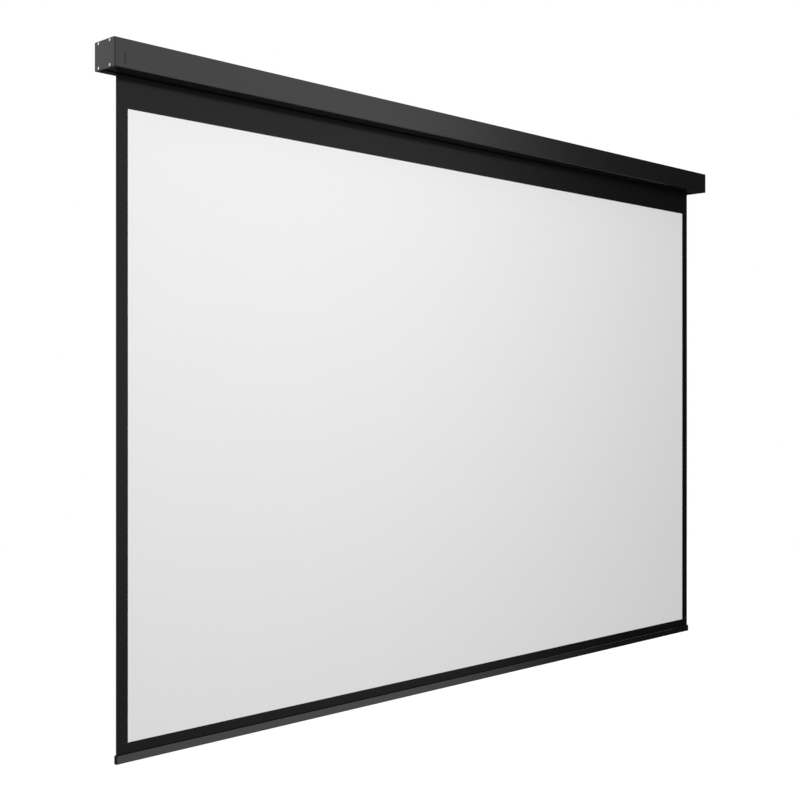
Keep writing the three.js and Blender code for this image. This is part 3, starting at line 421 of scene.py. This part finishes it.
def material(name, group, settings, bump=0.1, distance=0.05 * MM, **shader):
    """A Principled material fed by one finish group; shader values go on its own sockets."""
    made = bpy.data.materials.new(name)
    made.use_nodes = True
    tree = made.node_tree
    principled = tree.nodes["Principled BSDF"]
    finish = tree.nodes.new("ShaderNodeGroup")
    finish.node_tree = group
    for label, value in settings.items():
        finish.inputs[label].default_value = value
    for label, value in shader.items():
        principled.inputs[label.replace("_", " ")].default_value = value
    raise_bump = tree.nodes.new("ShaderNodeBump")
    raise_bump.inputs["Strength"].default_value = bump
    raise_bump.inputs["Distance"].default_value = distance
    tree.links.new(finish.outputs["Colour"], principled.inputs["Base Color"])
    tree.links.new(finish.outputs["Roughness"], principled.inputs["Roughness"])
    tree.links.new(finish.outputs["Height"], raise_bump.inputs["Height"])
    tree.links.new(raise_bump.outputs["Normal"], principled.inputs["Normal"])
    return made


def grey(level, warmth=0.0):
    """A grey with its red raised and its blue lowered by the warmth."""
    return (level * (1 + warmth), level, level * (1 - warmth), 1.0)


casing_paint = material("casing_paint", POWDER_COAT, {
    "Colour": grey(0.0078, -0.02), "Roughness": 0.15, "Grain": 1100.0, "Mottle": 0.1},
    bump=0.08, IOR=1.58)
end_paint = material("end_plate_paint", POWDER_COAT, {
    "Colour": grey(0.010, -0.02), "Roughness": 0.25, "Grain": 1100.0, "Mottle": 0.1},
    bump=0.08, IOR=1.48)
bar_paint = material("bar_paint", POWDER_COAT, {
    "Colour": grey(0.007, -0.02), "Roughness": 0.12, "Grain": 1100.0, "Mottle": 0.1},
    bump=0.08, IOR=2.0)
white_cloth = material("white_cloth", WOVEN, {
    "Colour": grey(0.84), "Roughness": 0.85, "Pitch": 0.0007, "Stain": 0.012},
    bump=0.12, distance=0.02 * MM, IOR=1.4)
black_cloth = material("black_cloth", WOVEN, {
    "Colour": grey(0.005), "Roughness": 0.17, "Pitch": 0.0007, "Stain": 0.12},
    bump=0.05, distance=0.02 * MM, IOR=1.3)
bright_screw = material("bright_zinc", DRAWN_METAL, {
    "Colour": grey(0.9), "Roughness": 0.28, "Lines": 900.0, "Contrast": 0.1}, Metallic=1.0)
zinc_plate = material("zinc_plate", DRAWN_METAL, {
    "Colour": grey(0.6, -0.01), "Roughness": 0.38, "Lines": 500.0, "Contrast": 0.25},
    Metallic=1.0)
mill_aluminium = material("mill_aluminium", DRAWN_METAL, {
    "Colour": grey(0.72, -0.01), "Roughness": 0.35, "Lines": 700.0, "Contrast": 0.2},
    Metallic=1.0)
machined_steel = material("machined_steel", DRAWN_METAL, {
    "Colour": grey(0.5, 0.01), "Roughness": 0.32, "Lines": 600.0, "Contrast": 0.3},
    Metallic=1.0)
black_plastic = material("black_plastic", MOULDED, {
    "Colour": grey(0.004), "Roughness": 0.6, "Grain": 1500.0, "Flow": 0.15},
    Specular_IOR_Level=0.1)
grey_plastic = material("grey_plastic", MOULDED, {
    "Colour": grey(0.12, -0.02), "Roughness": 0.5, "Grain": 1200.0, "Flow": 0.12})
white_nylon = material("white_nylon", MOULDED, {
    "Colour": (0.75, 0.72, 0.66, 1.0), "Roughness": 0.45, "Grain": 900.0, "Flow": 0.08},
    Subsurface_Weight=0.2)
smoked_plastic = material("smoked_plastic", MOULDED, {
    "Colour": (0.010, 0.009, 0.009, 1.0), "Roughness": 0.3, "Grain": 300.0, "Flow": 0.1},
    bump=0.02, Specular_IOR_Level=0.38)
circuit_board = material("circuit_board", MOULDED, {
    "Colour": (0.02, 0.12, 0.05, 1.0), "Roughness": 0.4, "Grain": 700.0, "Flow": 0.3})
terminal_plastic = material("terminal_plastic", MOULDED, {
    "Colour": (0.05, 0.22, 0.14, 1.0), "Roughness": 0.45, "Grain": 900.0, "Flow": 0.1})
cable_jacket = material("cable_jacket", MOULDED, {
    "Colour": grey(0.03), "Roughness": 0.6, "Grain": 900.0, "Flow": 0.1})

MATERIALS = {
    "casing_paint": casing_paint, "end_plate_paint": end_paint, "bar_paint": bar_paint,
    "bright_screw": bright_screw, "zinc_plate": zinc_plate, "black_cloth": black_cloth,
    "white_cloth": white_cloth, "black_plastic": black_plastic, "grey_plastic": grey_plastic,
    "white_nylon": white_nylon, "mill_aluminium": mill_aluminium, "steel": machined_steel,
    "smoked_plastic": smoked_plastic, "circuit_board": circuit_board,
    "terminal_plastic": terminal_plastic, "cable_jacket": cable_jacket,
}

slot_of = {part["node"]: part["material_slot"] for part in frame["record"]["subparts"]}
body_of = {node: body for body, nodes in frame["record"]["behaviour"]["bodies"].items()
           for node in nodes}

for node, slot in slot_of.items():
    worn = frame["nodes"][node].data.materials
    worn.clear()
    worn.append(MATERIALS[slot])


# Hanging cloth: both layers share one slow wave, so that they stay on each other
WAVE_DEPTH = 0.25 * MM
SLOW_RIPPLE = (5, 2)
QUICK_RIPPLE = (11, -3)
QUICK_SHARE = 0.5
QUICK_LEAD = 1
SHEET_COLUMNS = 61
SHEET_ROWS = 49

carrier_low, carrier_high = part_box("carrier_fabric")
surface_low, surface_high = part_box("viewing_surface")
drop = -carrier_low.z


def cloth_wave(x, z):
    """Depth x sin(pi s) x (sin(slow) + share x sin(quick + lead)), where s runs from 0 at the
    roller to 1 at the bar, and each ripple's angle is a x + b z in radians and metres."""
    s = np.clip(-z / drop, 0, 1)
    slow = SLOW_RIPPLE[0] * x + SLOW_RIPPLE[1] * z
    quick = QUICK_RIPPLE[0] * x + QUICK_RIPPLE[1] * z
    ripple = np.sin(slow) + QUICK_SHARE * np.sin(quick + QUICK_LEAD)
    return WAVE_DEPTH * np.sin(math.pi * s) * ripple


def hanging_sheet(name, low, high):
    """A slab between two corners, its front and back following the cloth's wave."""
    x, z = np.meshgrid(np.linspace(low.x, high.x, SHEET_COLUMNS),
                       np.linspace(low.z, high.z, SHEET_ROWS))
    wave = cloth_wave(x, z)
    front = np.stack([x, low.y + wave, z], axis=2)
    back = np.stack([x, high.y + wave, z], axis=2)
    return slab(name, front, back)


def wind_up(piece):
    """The piece with a mesh of its own."""
    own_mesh(piece)


picture = hanging_sheet("picture_cloth", surface_low, surface_high)
finish_piece(picture, white_cloth, "casing", "viewing_surface")
carrier = hanging_sheet("carrier_cloth", carrier_low, carrier_high)
finish_piece(carrier, black_cloth, "casing", "carrier_fabric")
wind_up(picture)
wind_up(carrier)


# Strip of black cloth below the picture: full width above the bar, narrower in its groove
NARROWING = 0.1 * MM

border_low, border_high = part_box("bottom_border")
bar_low, bar_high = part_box("bar_profile")
keder_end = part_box("fabric_keder")[1].x


def border_strip():
    """Rows from the keder up to the picture; each row's half width follows its height."""
    heights = np.array([border_low.z, bar_high.z - NARROWING, bar_high.z + NARROWING,
                        border_high.z])
    halves = np.array([keder_end, keder_end, border_high.x, border_high.x])
    across = np.linspace(-1, 1, SHEET_COLUMNS)
    x = halves[:, None] * across[None, :]
    z = np.repeat(heights[:, None], SHEET_COLUMNS, axis=1)
    front = np.stack([x, np.full_like(x, border_low.y), z], axis=2)
    back = np.stack([x, np.full_like(x, border_high.y), z], axis=2)
    return slab("border_cloth", front, back)


border = finish_piece(border_strip(), black_cloth, "bar", "bottom_border")


# Turns of cloth on the roller: a spiral section that ends where the cloth drops
ROLL_PITCH = 0.9 * MM
ROLL_TURNS = 1.75
ROLL_POINTS = 127
CLOTH_THICKNESS = 0.4 * MM

roll_low, roll_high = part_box("fabric_roll")
roller_low, roller_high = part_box("roller_tube")
axis_y = (roller_low.y + roller_high.y) / 2


def rolled_cloth():
    """Radius falls by one pitch a turn from the drop line, inwards."""
    turn = np.linspace(0, ROLL_TURNS, ROLL_POINTS)
    middle = roll_high.y - axis_y - CLOTH_THICKNESS / 2 - ROLL_PITCH * turn
    angle = 2 * math.pi * turn
    sides = [np.stack([axis_y + (middle + offset) * np.cos(angle),
                       (middle + offset) * np.sin(angle)], 1)
             for offset in (CLOTH_THICKNESS / 2, -CLOTH_THICKNESS / 2)]
    outline = np.concatenate([sides[0], sides[1][::-1]])
    return extrusion("rolled_cloth", [outline], roll_low.x, roll_high.x)


finish_piece(rolled_cloth(), black_cloth, "roller", "fabric_roll")


# Casing and end plates: machined parts whose eased edges leave a fine groove where they meet
CASING_EDGE = 0.5 * MM
JOINT_EDGE = 0.6 * MM
FLAT_PANELS = 12 * DEGREE
ON_EDGE = 0.01 * MM
NEAR_JOINT = 0.2 * MM

casing_low, casing_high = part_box("casing_profile")


def on_outer_faces(point):
    """Whether a point is on the front or back face, and on the top or bottom one."""
    return (min(abs(point.y - casing_low.y), abs(point.y - casing_high.y)) < ON_EDGE,
            min(abs(point.z - casing_low.z), abs(point.z - casing_high.z)) < ON_EDGE)


def from_joint(point):
    """Distance along X from the joint between the casing and an end plate."""
    return abs(abs(point.x) - casing_high.x)


def on_corner(point):
    """On one of the four long corners, or at the rim of an end."""
    outer = on_outer_faces(point)
    return all(outer) or (from_joint(point) < ON_EDGE and any(outer))


def at_joint(point):
    """On the rim of an end plate's inner face."""
    return from_joint(point) < NEAR_JOINT and any(on_outer_faces(point))


shell = softened("casing_profile", "casing_shell", CASING_EDGE, on_corner, segments=3,
                 smooth_angle=FLAT_PANELS)
finish_piece(shell, casing_paint, "casing", "casing_profile")
for side in ("left", "right"):
    plate = softened("end_plate_" + side, "end_cover_" + side, JOINT_EDGE, at_joint,
                     smooth_angle=FLAT_PANELS)
    finish_piece(plate, end_paint, "casing", "end_plate_" + side)


# End screws: a domed pan head with a cross recess, turned from one height map
SCREW_SIDES = 64
SCREW_RINGS = 24
FIRST_RING = 0.02
DOME_SHARE = 0.35
DOME_POWER = 4
SHANK_LENGTH = 12 * MM
SHANK_RADIUS = 1.9 * MM
TIP_LENGTH = 1 * MM
TIP_SHARE = 0.6
RECESS_HALF_WIDTH = 0.42 * MM
RECESS_REACH = 1.7 * MM
RECESS_DEPTH = 0.9 * MM
RECESS_FADE = 0.15 * MM


def cross_recess(y, z):
    """Depth of the recess: full in two crossed bars, fading out at their edges and ends."""
    bars = []
    for along, across in ((y, z), (z, y)):
        inside = np.clip((RECESS_HALF_WIDTH - np.abs(across)) / RECESS_FADE + 0.5, 0, 1)
        reach = np.clip((RECESS_REACH - np.abs(along)) / (3 * RECESS_FADE), 0, 1)
        bars.append(inside * reach)
    return RECESS_DEPTH * np.maximum(*bars)


def end_screw(name, node, side):
    """A polar grid: rings out over the dome, down the rim, in under the head and along
    the shank. At r of the head's radius the dome is share x r to a power of the head's
    height below its crown."""
    low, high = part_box(node)
    centre = ((low.y + high.y) / 2, (low.z + high.z) / 2)
    head_radius = (high.z - low.z) / 2
    length = high.x - low.x
    outer = high.x if side > 0 else low.x
    head_height = length - SHANK_LENGTH
    r = np.linspace(FIRST_RING, 1, SCREW_RINGS) * head_radius
    depth = DOME_SHARE * head_height * (r / head_radius) ** DOME_POWER
    r = np.concatenate([r, [head_radius, SHANK_RADIUS, SHANK_RADIUS, SHANK_RADIUS * TIP_SHARE]])
    depth = np.concatenate([depth, [head_height, head_height, length - TIP_LENGTH, length]])
    angle = np.linspace(0, 2 * math.pi, SCREW_SIDES, endpoint=False)
    y = r[:, None] * np.cos(angle)
    z = r[:, None] * np.sin(angle)
    x = np.repeat(depth[:, None], SCREW_SIDES, axis=1)
    x[:SCREW_RINGS] += cross_recess(y[:SCREW_RINGS], z[:SCREW_RINGS])
    points = np.stack([outer - side * x, centre[0] + y, centre[1] + z], axis=2)
    faces = grid_faces(len(r), SCREW_SIDES, closed=True)
    last = (len(r) - 1) * SCREW_SIDES
    faces.append(list(range(SCREW_SIDES)))
    faces.append(list(range(last, last + SCREW_SIDES))[::-1])
    return turned_outwards(mesh_object(name, points, faces))


for side_name, side in (("left", -1), ("right", 1)):
    for place in ("front_top", "front_bottom", "rear_top", "rear_bottom"):
        node = f"end_screw_{side_name}_{place}"
        screw = end_screw(f"pan_screw_{side_name}_{place}", node, side)
        finish_piece(screw, bright_screw, "casing", node)


# Weight bar: its section with fine corners, the keder groove open to the top
BAR_LIP = 3.0 * MM
BAR_SHOULDER = 1.6 * MM
BAR_FOOT = 1.5 * MM
BAR_WALL = 1.3 * MM
GROOVE_HALF = 1.2 * MM
GROOVE_RADIUS = 3.0 * MM
GROOVE_DROP = 5.2 * MM
BALLAST_HALF = 4.0 * MM
BALLAST_TOP = 11.4 * MM
BALLAST_CORNER = 0.8 * MM
FOOT_STEPS = 9
GROOVE_STEPS = 33


def bar_section():
    """Outline down the front, round the foot, up the back and round the keder room."""
    middle = (bar_low.y + bar_high.y) / 2
    half = (bar_high.y - bar_low.y) / 2
    height = bar_high.z - bar_low.z
    open_angle = math.asin(GROOVE_HALF / GROOVE_RADIUS)
    right = math.pi / 2
    outer = np.concatenate([
        [[-GROOVE_HALF, 0], [-BAR_LIP, 0]],
        [[-half, -BAR_SHOULDER]],
        arc((-half + BAR_FOOT, -height + BAR_FOOT), BAR_FOOT, 2 * right, 3 * right, FOOT_STEPS),
        arc((half - BAR_FOOT, -height + BAR_FOOT), BAR_FOOT, 3 * right, 4 * right, FOOT_STEPS),
        [[half, -BAR_SHOULDER]],
        [[BAR_LIP, 0], [GROOVE_HALF, 0]],
        arc((0, -GROOVE_DROP), GROOVE_RADIUS, right - open_angle,
            right + open_angle - 4 * right, GROOVE_STEPS),
    ])
    ballast = filleted([
        [-BALLAST_HALF, -height + BAR_WALL], [BALLAST_HALF, -height + BAR_WALL],
        [BALLAST_HALF, -BALLAST_TOP], [-BALLAST_HALF, -BALLAST_TOP]], BALLAST_CORNER)
    place = np.array([middle, bar_high.z])
    return [outer + place, ballast + place]


# The paint runs to the ends of the bar, and only a thin plate of each cap shows
CAP_PLATE = 0.5 * MM
PAINT_GAP = 0.1 * MM

cap_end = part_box("bar_cap_right")[1].x
plate_start = cap_end - CAP_PLATE
paint_end = plate_start - PAINT_GAP

bar = even_normals(extrusion("bar_extrusion", bar_section(), -paint_end, paint_end))
finish_piece(bar, bar_paint, "bar", "bar_profile")


def bar_cap(node, name):
    """A cap with eased edges, the inner face of its plate brought out to the plate's start."""
    cap = softened(node, name, CAP_PLATE / 2)
    place = np.empty(3 * len(cap.data.vertices))
    cap.data.vertices.foreach_get("co", place)
    x = place[::3]
    inner = np.abs(np.abs(x) - bar_high.x) < CAP_PLATE / 2
    x[inner] = np.sign(x[inner]) * plate_start
    cap.data.vertices.foreach_set("co", place)
    return cap


for side in ("left", "right"):
    node = "bar_cap_" + side
    finish_piece(bar_cap(node, "bar_end_" + side), black_plastic, "bar", node)


# Moulded, stamped and machined parts, and the width of their eased edges in millimetres
EASED_PARTS = {
    "receiver_window": 0.4, "mains_gland": 0.4, "gland_dome": 0.6, "gland_lock_nut": 0.4,
    "motor_bracket": 0.3, "idler_bracket": 0.3,
    "bracket_nut_left_lower": 0.4, "bracket_nut_left_upper": 0.4,
    "bracket_nut_right_lower": 0.4, "bracket_nut_right_upper": 0.4,
    "control_box_tray": 0.5, "control_box_lid": 0.8, "motor_capacitor": 0.5,
    "motor_relay": 0.5, "terminal_block": 0.3, "motor_head": 0.4, "idler_plug": 0.3,
    "crown_wheel": 0.3, "drive_wheel": 0.3, "idler_bush": 0.4, "idler_pin": 0.3,
    "limit_adjuster_up": 0.3, "limit_adjuster_down": 0.3, "limit_switch_unit": 0.6,
    "motor_unit": 0.8, "gearbox_stages": 0.6, "planet_carrier": 0.3, "ballast_rod": 0.5,
}

for node, width in EASED_PARTS.items():
    slot = slot_of[node]
    finish_piece(softened(node, "eased_" + node, width * MM), MATERIALS[slot],
                 body_of[node], node)


# Leads in the casing: smooth tubes through the same points as the solids, in millimetres
LEAD_STEPS = 8
RECEIVER_LEAD_RADIUS = 1.25
RECEIVER_LEAD = [
    (-1243, -76.9, 7.2), (-1243, -76.9, 12.9), (-1243, -76.9, 20.8), (-1237, -76.9, 26.8),
    (-1225, -76.9, 26.8), (1234.4, -76.9, 26.8), (1246.4, -76.9, 26.8), (1252.4, -70.9, 22.1),
    (1252.4, -51.575, 22.1), (1252.4, -24, 22.1), (1246.4, -12, 16.1), (1211.4, -12.4, -1.2),
    (1199.4, -12.4, -4.2), (1186.8, -12.4, -4.2),
]
MOTOR_LEAD_RADIUS = 2.5
MOTOR_LEAD = [
    (1254.5, -33.275, 0), (1254.5, -27.575, 0), (1248.5, -16.4, -3.733),
    (1236.5, -12.4, -11.2), (1199.4, -12.4, -11.2), (1186.8, -12.4, -11.2),
]

for node, points, radius in (("receiver_lead", RECEIVER_LEAD, RECEIVER_LEAD_RADIUS),
                             ("motor_lead", MOTOR_LEAD, MOTOR_LEAD_RADIUS)):
    lead = tube("smooth_" + node, smooth_path(points, LEAD_STEPS) * MM, radius * MM)
    finish_piece(lead, cable_jacket, "casing", node)


# Idler spring: a helix round the pin
SPRING_TURNS = 7
STEPS_A_TURN = 24
SPRING_WIRE = 0.6 * MM
WIRE_SIDES = 10

spring_low, spring_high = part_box("idler_spring")


def coiled_spring():
    """x runs evenly from end to end while the angle makes its turns at one radius."""
    turn = np.linspace(0, 2 * math.pi * SPRING_TURNS, STEPS_A_TURN * SPRING_TURNS + 1)
    radius = (spring_high.z - spring_low.z) / 2 - SPRING_WIRE
    x = np.linspace(spring_low.x + SPRING_WIRE, spring_high.x - SPRING_WIRE, len(turn))
    path = np.stack([x, axis_y + radius * np.cos(turn), radius * np.sin(turn)], 1)
    return tube("coiled_spring", path, SPRING_WIRE, WIRE_SIDES)


spring = finish_piece(coiled_spring(), machined_steel, body_of["idler_spring"],
                      "idler_spring")
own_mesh(spring)


# Studio: a white room, a pale floor and a large soft lamp to the upper left
FLOOR_Z = -2.7
FLOOR_HALF = 12.0
FLOOR_GREY = 0.5
FLOOR_ROUGHNESS = 0.9
FLOOR_GLOW = 0.7
WHITE = (1.0, 1.0, 1.0, 1.0)
ROOM_LIGHT = 0.61

# Dark flags that mirror-like rays see in the white room. Each has its mask as stops of
# (degrees from -Y towards +X, value) and of (height on the unit sphere, value), and the
# light that it leaves. The last one is a half-lit front near the floor.
FLAGS = {
    "side": ([(44.9, 0), (54.1, 1), (76, 1), (90, 0)], [(-1, 1), (1, 1)], 0.005),
    "high_right": ([(70, 0), (80, 1), (108, 1), (120, 0)],
                   [(0.2, 0), (0.35, 1), (0.58, 1), (0.72, 0)], 0.02),
    "behind_right": ([(70, 0), (84, 1), (127, 1), (132, 0)], [(-0.05, 1), (0.03, 0)], 0.02),
    "behind_left": ([(134, 0), (143, 1), (152, 1), (161, 0)], [(-0.10, 1), (0.0, 0)], 0.03),
    "low_left": ([(-115, 0), (-102, 1), (-78, 1), (-62, 0)], [(-0.03, 1), (0.07, 0)], 0.04),
    "low_front": ([(-95, 0), (-65, 1), (100, 1), (120, 0)], [(-0.30, 1), (0.05, 0)], 0.45),
}

LAMP_PLACE = (-0.80, -2.47, 0.33)
LAMP_TARGET = (-0.3, 0.0, -0.8)
LAMP_SIZE = 2.5
LAMP_POWER = 47.0


def mask_of(tree, value, stops, span):
    """A smooth mask over a value that runs from -span to +span, from (value, mask) stops."""
    ramp = tree.nodes.new("ShaderNodeValToRGB")
    ramp.color_ramp.interpolation = "EASE"
    elements = ramp.color_ramp.elements
    while len(elements) < len(stops):
        elements.new(0.5)
    for element, (place, level) in zip(elements, stops):
        element.position = place / (2 * span) + 0.5
        element.color = (level, level, level, 1.0)
    share = math_node(tree, "DIVIDE", value, 2 * span)
    tree.links.new(math_node(tree, "ADD", share, 0.5), ramp.inputs["Fac"])
    return ramp.outputs["Color"]


def room_mirrored(tree):
    """What mirror-like rays see: the product over the flags of 1 - (1 - light) x mask."""
    place = tree.nodes.new("ShaderNodeTexCoord")
    parts = tree.nodes.new("ShaderNodeSeparateXYZ")
    tree.links.new(place.outputs["Generated"], parts.inputs[0])
    towards = math_node(tree, "MULTIPLY", parts.outputs["Y"], -1.0)
    bearing = math_node(tree, "DEGREES", math_node(
        tree, "ARCTAN2", parts.outputs["X"], towards))
    lit = 1.0
    for around, upright, light in FLAGS.values():
        mask = math_node(tree, "MULTIPLY", mask_of(tree, bearing, around, span=180),
                         mask_of(tree, parts.outputs["Z"], upright, span=1))
        taken = math_node(tree, "MULTIPLY", mask, 1.0 - light)
        lit = math_node(tree, "MULTIPLY", math_node(tree, "SUBTRACT", 1.0, taken), lit)
    return lit


def make_world():
    """Camera and transmission rays see white, glossy rays the mirrored room, and the rest
    an even light."""
    world = bpy.data.worlds.new("studio")
    bpy.context.scene.world = world
    world.use_nodes = True
    tree = world.node_tree
    tree.nodes.clear()
    rays = tree.nodes.new("ShaderNodeLightPath")
    seen = math_node(tree, "MAXIMUM", rays.outputs["Is Camera Ray"],
                     rays.outputs["Is Transmission Ray"])
    mirrored = math_node(tree, "MULTIPLY", rays.outputs["Is Glossy Ray"], room_mirrored(tree))
    white = math_node(tree, "MAXIMUM", seen, mirrored)
    other = math_node(tree, "SUBTRACT", 1.0, math_node(
        tree, "MAXIMUM", seen, rays.outputs["Is Glossy Ray"]))
    light = math_node(tree, "ADD", white, math_node(tree, "MULTIPLY", other, ROOM_LIGHT))
    room = tree.nodes.new("ShaderNodeBackground")
    tree.links.new(light, room.inputs["Strength"])
    room.inputs["Color"].default_value = WHITE
    output = tree.nodes.new("ShaderNodeOutputWorld")
    tree.links.new(room.outputs[0], output.inputs["Surface"])


def make_floor():
    """A pale floor that the camera sees near white, with the object's shadow on it. From
    below it is clear, so that the underside can be looked at."""
    mesh = bpy.data.meshes.new("floor")
    corners = [(-FLOOR_HALF, -FLOOR_HALF), (FLOOR_HALF, -FLOOR_HALF),
               (FLOOR_HALF, FLOOR_HALF), (-FLOOR_HALF, FLOOR_HALF)]
    mesh.from_pydata([(x, y, FLOOR_Z) for x, y in corners], [], [(0, 1, 2, 3)])
    floor = bpy.data.objects.new("floor", mesh)
    bpy.context.scene.collection.objects.link(floor)
    floor.visible_glossy = False
    paint = bpy.data.materials.new("floor_paint")
    paint.use_nodes = True
    tree = paint.node_tree
    principled = tree.nodes["Principled BSDF"]
    principled.inputs["Base Color"].default_value = grey(FLOOR_GREY)
    principled.inputs["Roughness"].default_value = FLOOR_ROUGHNESS
    principled.inputs["Emission Color"].default_value = WHITE
    rays = tree.nodes.new("ShaderNodeLightPath")
    tree.links.new(math_node(tree, "MULTIPLY", rays.outputs["Is Camera Ray"], FLOOR_GLOW),
                   principled.inputs["Emission Strength"])
    clear = tree.nodes.new("ShaderNodeBsdfTransparent")
    under = tree.nodes.new("ShaderNodeNewGeometry").outputs["Backfacing"]
    mix = tree.nodes.new("ShaderNodeMixShader")
    tree.links.new(under, mix.inputs[0])
    tree.links.new(principled.outputs[0], mix.inputs[1])
    tree.links.new(clear.outputs[0], mix.inputs[2])
    tree.links.new(mix.outputs[0], tree.nodes["Material Output"].inputs["Surface"])
    mesh.materials.append(paint)


def make_lamp():
    data = bpy.data.lights.new("key_lamp", "AREA")
    data.shape = "SQUARE"
    data.size = LAMP_SIZE
    data.energy = LAMP_POWER
    lamp = bpy.data.objects.new("key_lamp", data)
    lamp.location = LAMP_PLACE
    lamp.visible_glossy = False
    aim = Vector(LAMP_TARGET) - Vector(LAMP_PLACE)
    lamp.rotation_euler = aim.to_track_quat("-Z", "Y").to_euler()
    bpy.context.scene.collection.objects.link(lamp)


make_world()
make_floor()
make_lamp()
bpy.context.scene.view_settings.view_transform = "Standard"
